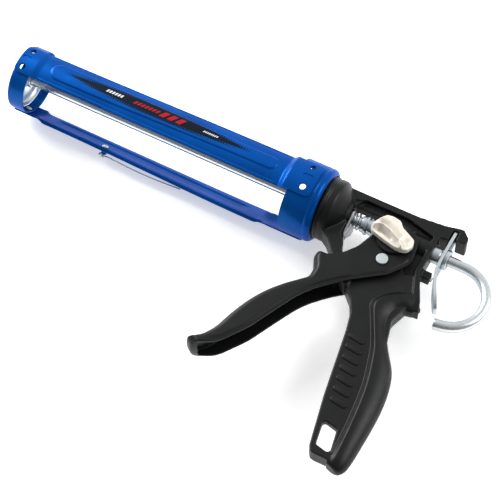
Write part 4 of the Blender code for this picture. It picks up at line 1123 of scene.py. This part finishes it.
def selector_knob():
    """The thumb wing: a flat casting with a rib along it and a finger hollow on each side of the rib."""
    outline = [(321.5, 4.6, 2.0), (317.6, 0.0, 4.0), (315.2, -5.8, 4.0), (314.8, -11.4, 3.0),
        (317.4, -13.4, 3.0), (325.1, -15.8, 8.0), (338.0, -18.9, 10.0), (343.6, -19.0, 5.0),
        (348.2, -16.9, 4.0), (350.3, -11.3, 4.0), (348.9, -6.7, 3.0), (345.0, -4.7, 4.0),
        (336.8, -0.4, 5.0), (332.9, 4.2, 4.0), (326.5, 5.4, 6.0)]
    base = CHEEK_OUT + 2.6
    wing = moulded(plate("selector_wing", outline, base, base + WING_THICK), 0.3, 2, 1.0)
    places = vertices(wing)
    flat = places[:, :2]
    lift = KNOB_RIB_LIFT * numpy.exp(-(line_distance(flat, KNOB_RIB) / 1.35) ** 1.6)
    for line, depth, reach in KNOB_DIPS:
        lift -= depth * numpy.exp(-(line_distance(flat, line) / reach) ** 2)
    share = smoothstep(places[:, 2], base + 1.2, base + WING_THICK - 0.2)
    places[:, 2] += lift * share
    set_vertices(wing, places)
    return moulded(wing, 0.28, 3, 0.6)


def selector_base():
    """The black disc under the knob, with a stepped rim."""
    low = CHEEK_OUT + GAP
    profile = [(low, 0.0), (low, 12.6), (low + 0.3, 13.0), (low + 1.5, 13.0), (low + 1.9, 12.7),
        (low + 2.0, 12.2), (low + 2.0, 0.0)]
    return turned_at("selector_base_disc", profile, (*KNOB, 0.0), (0, 0, 1), 96)


def selector_shaft():
    profile = [(-12.6, 0.0), (-12.6, 2.0), (-12.3, SHAFT_R), (CHEEK_OUT, SHAFT_R), (CHEEK_OUT, 0.0)]
    shaft = turned_at("selector_shaft_turned", profile, (*KNOB, 0.0), (0, 0, 1), 48)
    slit = plate("slit", [(KNOB[0] - 4.0, KNOB[1] - 0.35), (KNOB[0] + 4.0, KNOB[1] - 0.35),
        (KNOB[0] + 4.0, KNOB[1] + 0.35), (KNOB[0] - 4.0, KNOB[1] + 0.35)], -14.0, -11.9)
    return cut(shaft, slit)


# ---------------------------------------------------------------- drive, rod and release

def chamfered(name, start, end, outer, inner, edge=0.4, steps=64):
    return turned(name, [(start, inner + edge / 2), (start, outer - edge), (start + edge, outer),
        (end - edge, outer), (end, outer - edge), (end, inner + edge / 2), (end - edge / 2, inner),
        (start + edge / 2, inner)], steps)


def drive_sleeve():
    """The sleeve between the spring and the plates: a nose, a collar and a second ring."""
    bore = ROD_R + GAP + 0.1
    profile = [(SLEEVE_START, bore), (SLEEVE_START, 5.3), (SLEEVE_START + 0.9, SLEEVE_R - 0.1),
        (SLEEVE_START + 1.2, SLEEVE_R), (306.6, SLEEVE_R), (306.8, 7.3), (307.1, 7.6), (308.7, 7.6),
        (309.0, 7.3), (309.2, 5.9), (310.4, 5.9), (310.7, SLEEVE_R), (315.6, SLEEVE_R), (315.9, 6.2),
        (316.4, 6.2), (316.7, SLEEVE_R), (SLEEVE_END - 0.3, SLEEVE_R), (SLEEVE_END, SLEEVE_R - 0.3),
        (SLEEVE_END, bore)]
    return turned("drive_sleeve_turned", profile, 72)


def drive_plate(name, x):
    outline = [(-8.6, -12.6, 2.0), (-8.6, 8.9, 2.0), (8.6, 8.9, 2.0), (8.6, -12.6, 2.0)]
    body = standing(name, outline, x, PLATE_THICK, 0.3)
    return cut(body, drum("bore", (0, 0, 0), ALONG, x - 5.0, x + 8.0, ROD_R + GAP + 0.1, CUTTER_EDGE))


def coil(name, start, end, radius, wire, turns, centre=(0.0, 0.0), resolution=4):
    """A compression spring along the rod, its turns a little closer at each end."""
    per_turn = 28
    total = int(turns * per_turn)
    points = []
    for k in range(total + 1):
        share = k / total
        eased = share + 0.035 * math.sin(2.0 * math.pi * share) * -1.0
        a = 2.0 * math.pi * k / per_turn
        points.append((start + (end - start) * eased, centre[0] + radius * math.cos(a),
            centre[1] + radius * math.sin(a)))
    return tube(name, points, wire, resolution)


def spring_plate():
    """The steel fork behind the bell: two prongs beside the spring, a tab below and an ear to the rear."""
    outline = [(-4.4, -19.8, 3.8), (-10.6, -3.0, 3.0), (-10.2, 1.6, 1.2), (9.0, 1.6, 1.2), (9.0, -3.0, 3.0),
               (4.4, -19.8, 3.8)]
    body = standing("spring_fork", outline, FORK_X, FORK_THICK, 0.0)
    ear = plate("ear", [(295.6, -8.2), (299.4, -8.2, 1.2), (300.8, -10.4, 1.5), (300.8, -15.0, 2.5),
                        (298.4, -19.2, 1.6), (295.6, -18.4)], 1.4, 2.8)
    fork = join(body, ear)
    bore = drum("bore", (0, 0, 0), ALONG, 285.0, 298.0, FORK_BORE_R, CUTTER_EDGE)
    return bevelled(cut(fork, bore), 0.2, 2)


def push_rod():
    """The round rod, bent into a hook at its rear end."""
    points = [(ROD_START, 0.0, 0.0), (200.0, 0.0, 0.0), (380.0, 0.0, 0.0)]
    for k in range(57):
        a = math.radians(HOOK_SWEEP * k / 56.0)
        points.append((HOOK_X + HOOK_R * math.sin(a), -HOOK_R + HOOK_R * math.cos(a), 0.0))
    end = math.radians(HOOK_SWEEP)
    points.append((points[-1][0] + HOOK_TAIL * math.cos(end), points[-1][1] - HOOK_TAIL * math.sin(end),
        0.0))
    return tube("push_rod_bar", points, ROD_R, 14, 0.8)


def piston():
    """The dished disc that pushes the cartridge's plunger, with a rolled rim."""
    front = PISTON_X
    bore = ROD_R + GAP
    profile = [(front, bore), (front, 8.2), (front + 0.25, 9.0), (front + 1.3, 10.6), (front + 1.6, 11.4),
        (front + 1.6, 20.2), (front + 1.8, 21.2), (front + 2.4, 22.1), (front + 5.6, 23.3),
        (front + 5.9, PISTON_R), (front + 6.1, 23.0), (front + 5.8, 22.4), (front + 3.3, 21.5),
        (front + 2.7, 20.8), (front + 2.6, 20.0), (front + 2.6, 10.8), (front + 2.3, 10.2),
        (front + 1.2, 8.6), (front + 1.0, 8.0), (front + 1.0, bore)]
    return turned("piston_disc", profile, 120)


def piston_hub():
    start = PISTON_X + 1.0 + GAP
    return turned("piston_hub_turned", [(start, ROD_R + 0.05), (start, 7.4), (PISTON_X + 2.5, 7.4),
        (PISTON_X + 2.9, 7.1), (PISTON_X + 3.2, 6.4), (PISTON_X + 6.6, 6.4), (PISTON_X + 7.0, 6.0),
        (PISTON_X + 7.0, ROD_R + 0.05)], 64)


def release_plate():
    """The plate that locks the rod: straight down past the rod, then a thumb tab bent to the rear."""
    stops = [(0.0, RELEASE_TOP, 7.0), (0.0, 10.0, 8.0), (0.0, -12.5, 8.0), (0.8, -17.0, 8.0),
        (2.1, -21.0, 8.2), (5.6, -30.4, 9.2), (9.4, -38.0, 9.0), (11.6, -42.4, 7.2), (12.8, -44.6, 5.4),
        (13.3, -45.6, 3.6)]
    rows = []
    for x, y, wide in spline(stops, 6):
        rows.append([(RELEASE_X + x, y, wide * (k / 8.0 - 1.0)) for k in range(17)])
    body = sheet("release_lever", rows, RELEASE_THICK, 1.0, 0.5)
    return cut(body, drum("bore", (0, 0, 0), ALONG, 360.0, 385.0, RELEASE_BORE_R, CUTTER_EDGE))


def release_collar():
    start = RELEASE_X + RELEASE_THICK + 0.1
    return turned("release_collar_turned", [(start, RELEASE_BORE_R), (start, 7.8), (start + 0.2, 8.0),
        (start + 2.5, 8.0), (start + 3.0, 7.5), (start + 3.0, RELEASE_BORE_R)], 64)


def retaining_plate():
    outer = REAR_RING_R - RING_WALL - 2 * GAP
    return turned("retaining_disc", [(268.1, 12.3), (268.1, outer - 1.4), (268.9, outer - 1.4),
        (269.9, 26.6), (269.9, 12.3)], 96)


# ---------------------------------------------------------------- put the gun together

BLUE = ("painted_blue", blue_paint())
PRINTED = ("painted_blue", tray_paint())
BLACK = ("black_plastic", black_nylon())
ZINC = ("zinc_steel", plated("zinc_steel", (0.74, 0.78, 0.80), (0.64, 0.72, 0.77), 0.24, 0.34,
    (1.0, 1.0, 1.0)))
DRAWN = ("zinc_steel", plated("zinc_rod", (0.76, 0.79, 0.81), (0.68, 0.75, 0.79), 0.22, 0.34,
    (0.06, 1.0, 1.0)))
SPRING_STEEL = ("spring_steel", plated("spring_steel", (0.60, 0.61, 0.62), (0.50, 0.51, 0.53), 0.24, 0.34))
PALE_METAL = ("white_metal", plated("white_metal", (0.52, 0.56, 0.57), (0.46, 0.50, 0.52), 0.40, 0.55,
    (1.0, 1.0, 1.0), 0.30))
IVORY = ("ivory_plastic", ivory())
OXIDE = ("black_steel", black_oxide())

finish_piece(front_ring(), "cradle", BLUE, ["front_ring"])
finish_piece(rear_ring(), "cradle", BLUE, ["rear_ring"])
finish_piece(tray(), "cradle", PRINTED, ["tray"])
finish_piece(strut(), "cradle", BLUE, ["strut"])
finish_piece(needle_spacer(), "cradle", BLUE, ["needle_spacer"])
finish_piece(strut_rivet("front_rivet_domed", FRONT_RIVET_X, FRONT_RING_R), "cradle", ZINC, ["front_rivet"])
finish_piece(strut_rivet("rear_rivet_domed", REAR_RIVET_X, REAR_RING_R), "cradle", ZINC, ["rear_rivet"])
finish_piece(rivet("needle_rivet_domed", NEEDLE_X, NEEDLE_S, 25.9, 34.3), "cradle", ZINC, ["needle_rivet"])
finish_piece(seal_needle(), "needle", DRAWN, ["seal_needle"])

finish_piece(handle_frame(), "frame", BLACK, ["handle_frame"], 0.0)
for hand in (-1, 1):
    finish_piece(grip_bead(hand), "frame", BLACK)
finish_piece(grip_pads(), "frame", BLACK)
finish_piece(retaining_plate(), "frame", OXIDE, ["retaining_plate"])
finish_piece(chamfered("front_bush_turned", *FRONT_BUSH, ROD_R + GAP), "frame", ZINC, ["front_bush"])
finish_piece(chamfered("rear_bush_turned", *REAR_BUSH, ROD_R + GAP), "frame", ZINC, ["rear_bush"])
finish_piece(spring_plate(), "frame", SPRING_STEEL, ["spring_plate"])
finish_piece(trigger_pin(), "frame", PALE_METAL, ["trigger_pin"])
finish_piece(pin_clip(), "frame", ZINC, ["pin_clip"])

finish_piece(trigger(), "trigger", BLACK, ["trigger"])
finish_piece(drum("drive_roller_turned", (*KNOB, 0.0), ACROSS, -ROLLER_HALF, ROLLER_HALF, ROLLER_R, 0.3,
    SHAFT_R + GAP), "trigger", ZINC, ["drive_roller"])
finish_piece(selector_knob(), "selector", IVORY, ["selector_knob"], 0.0)
finish_piece(selector_base(), "selector", BLACK, ["selector_base"])
finish_piece(selector_shaft(), "selector", ZINC, ["selector_shaft"])
finish_piece(drum("shaft_washer_ring", (*KNOB, 0.0), ACROSS, *WASHER_Z, WASHER_R, 0.15, SHAFT_R + GAP),
    "selector", ZINC, ["shaft_washer"])

finish_piece(drive_sleeve(), "clutch", ZINC, ["drive_sleeve"])
for number, plate_x in enumerate(DRIVE_PLATE_X, 1):
    finish_piece(drive_plate("drive_plate_cut_%d" % number, plate_x), "clutch", ZINC,
        ["drive_plate_%d" % number])
return_spring = finish_piece(coil("return_spring_wire", SPRING_START, SLEEVE_START - GAP - WIRE_R, SPRING_R,
    WIRE_R, 7.0), "frame", SPRING_STEEL, ["return_spring"])
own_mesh(return_spring)

finish_piece(release_plate(), "release_plate", ZINC, ["release_plate"])
finish_piece(release_collar(), "release_plate", ZINC, ["release_collar"])
release_spring = finish_piece(coil("release_spring_wire", 364.7, RELEASE_X + 0.9, 1.7, 0.35, 4.0,
    (-21.1, 0.0), 3), "frame", SPRING_STEEL, ["release_spring"])
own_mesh(release_spring)

finish_piece(piston(), "piston", ZINC, ["piston"])
finish_piece(piston_hub(), "piston", ZINC, ["piston_hub"])
finish_piece(push_rod(), "rod", DRAWN, ["push_rod"])


# ---------------------------------------------------------------- stage, light and camera

FLOOR_SIZE = 14.0
FLOOR_DROP = 0.0004
FLOOR_GLOW = 0.50
KEY_LIGHT = ((-1.4, 0.55, 0.95), 1.0, 40.0)  # place, size and power
FILL_LIGHT = ((1.1, 0.5, 1.0), 0.8, 12.0)
ROOM_FALL = (("From Min", -0.8), ("From Max", 0.7), ("To Min", 0.18), ("To Max", 0.85))


def floor():
    bpy.ops.mesh.primitive_plane_add(size=FLOOR_SIZE, location=(0.0, 0.0, -FLOOR_DROP))
    obj = bpy.context.object
    obj.name = "floor"
    look = Look("floor", (0.86, 0.86, 0.86), 0.9, 0.0)
    look.link(look.ramp(look.noise(3.0, 2.0), [(0.0, (0.85, 0.85, 0.855)), (1.0, (0.88, 0.88, 0.88))]),
        look.shader.inputs["Base Color"])
    look.set(Emission_Color=(1.0, 1.0, 1.0, 1.0), Emission_Strength=FLOOR_GLOW)
    obj.data.materials.append(look.material)


def area_light(name, place, size, power):
    """A square lamp that faces the middle of the gun."""
    lamp = bpy.data.lights.new(name, "AREA")
    lamp.shape = "RECTANGLE"
    lamp.size = lamp.size_y = size
    lamp.energy = power
    obj = bpy.data.objects.new(name, lamp)
    bpy.context.scene.collection.objects.link(obj)
    obj.location = place
    obj.rotation_euler = (-Vector(place)).to_track_quat("-Z", "Y").to_euler()


def studio():
    """A white room that falls off towards the viewer, with a soft key light high on the left."""
    world = bpy.data.worlds.new("studio")
    bpy.context.scene.world = world
    world.use_nodes = True
    tree = world.node_tree
    direction = tree.nodes.new("ShaderNodeTexCoord").outputs["Generated"]
    parts = tree.nodes.new("ShaderNodeSeparateXYZ")
    tree.links.new(direction, parts.inputs["Vector"])
    fall = tree.nodes.new("ShaderNodeMapRange")
    for socket, value in ROOM_FALL:
        fall.inputs[socket].default_value = value
    tree.links.new(parts.outputs["Y"], fall.inputs["Value"])
    background = tree.nodes["Background"]
    background.inputs["Color"].default_value = (1.0, 1.0, 1.0, 1.0)
    tree.links.new(fall.outputs["Result"], background.inputs["Strength"])
    area_light("key", *KEY_LIGHT)
    area_light("fill", *FILL_LIGHT)


CAMERA_AZIMUTH = 27.9
CAMERA_HEIGHT = 57.7
CAMERA_DISTANCE = 1363.4
CAMERA_TARGET = (238.84, -61.4, 0.0)
LENS = 129.6
SENSOR = 36.0


def camera():
    azimuth, height = math.radians(CAMERA_AZIMUTH), math.radians(CAMERA_HEIGHT)
    back = Vector((math.sin(azimuth) * math.cos(height), -math.cos(azimuth) * math.cos(height),
        math.sin(height)))
    right = Vector((math.cos(azimuth), math.sin(azimuth), 0.0))
    view = bpy.data.cameras.new("camera")
    view.lens = LENS
    view.sensor_width = SENSOR
    view.clip_start = 0.01
    obj = bpy.data.objects.new("camera", view)
    bpy.context.scene.collection.objects.link(obj)
    turn = Matrix((right, back.cross(right), back)).transposed().to_4x4()
    obj.matrix_world = Matrix.Translation(ORIGIN + mm(CAMERA_TARGET) + back * (CAMERA_DISTANCE * MM)) @ turn
    bpy.context.scene.camera = obj


floor()
studio()
camera()
bpy.context.scene.view_settings.view_transform = "Standard"
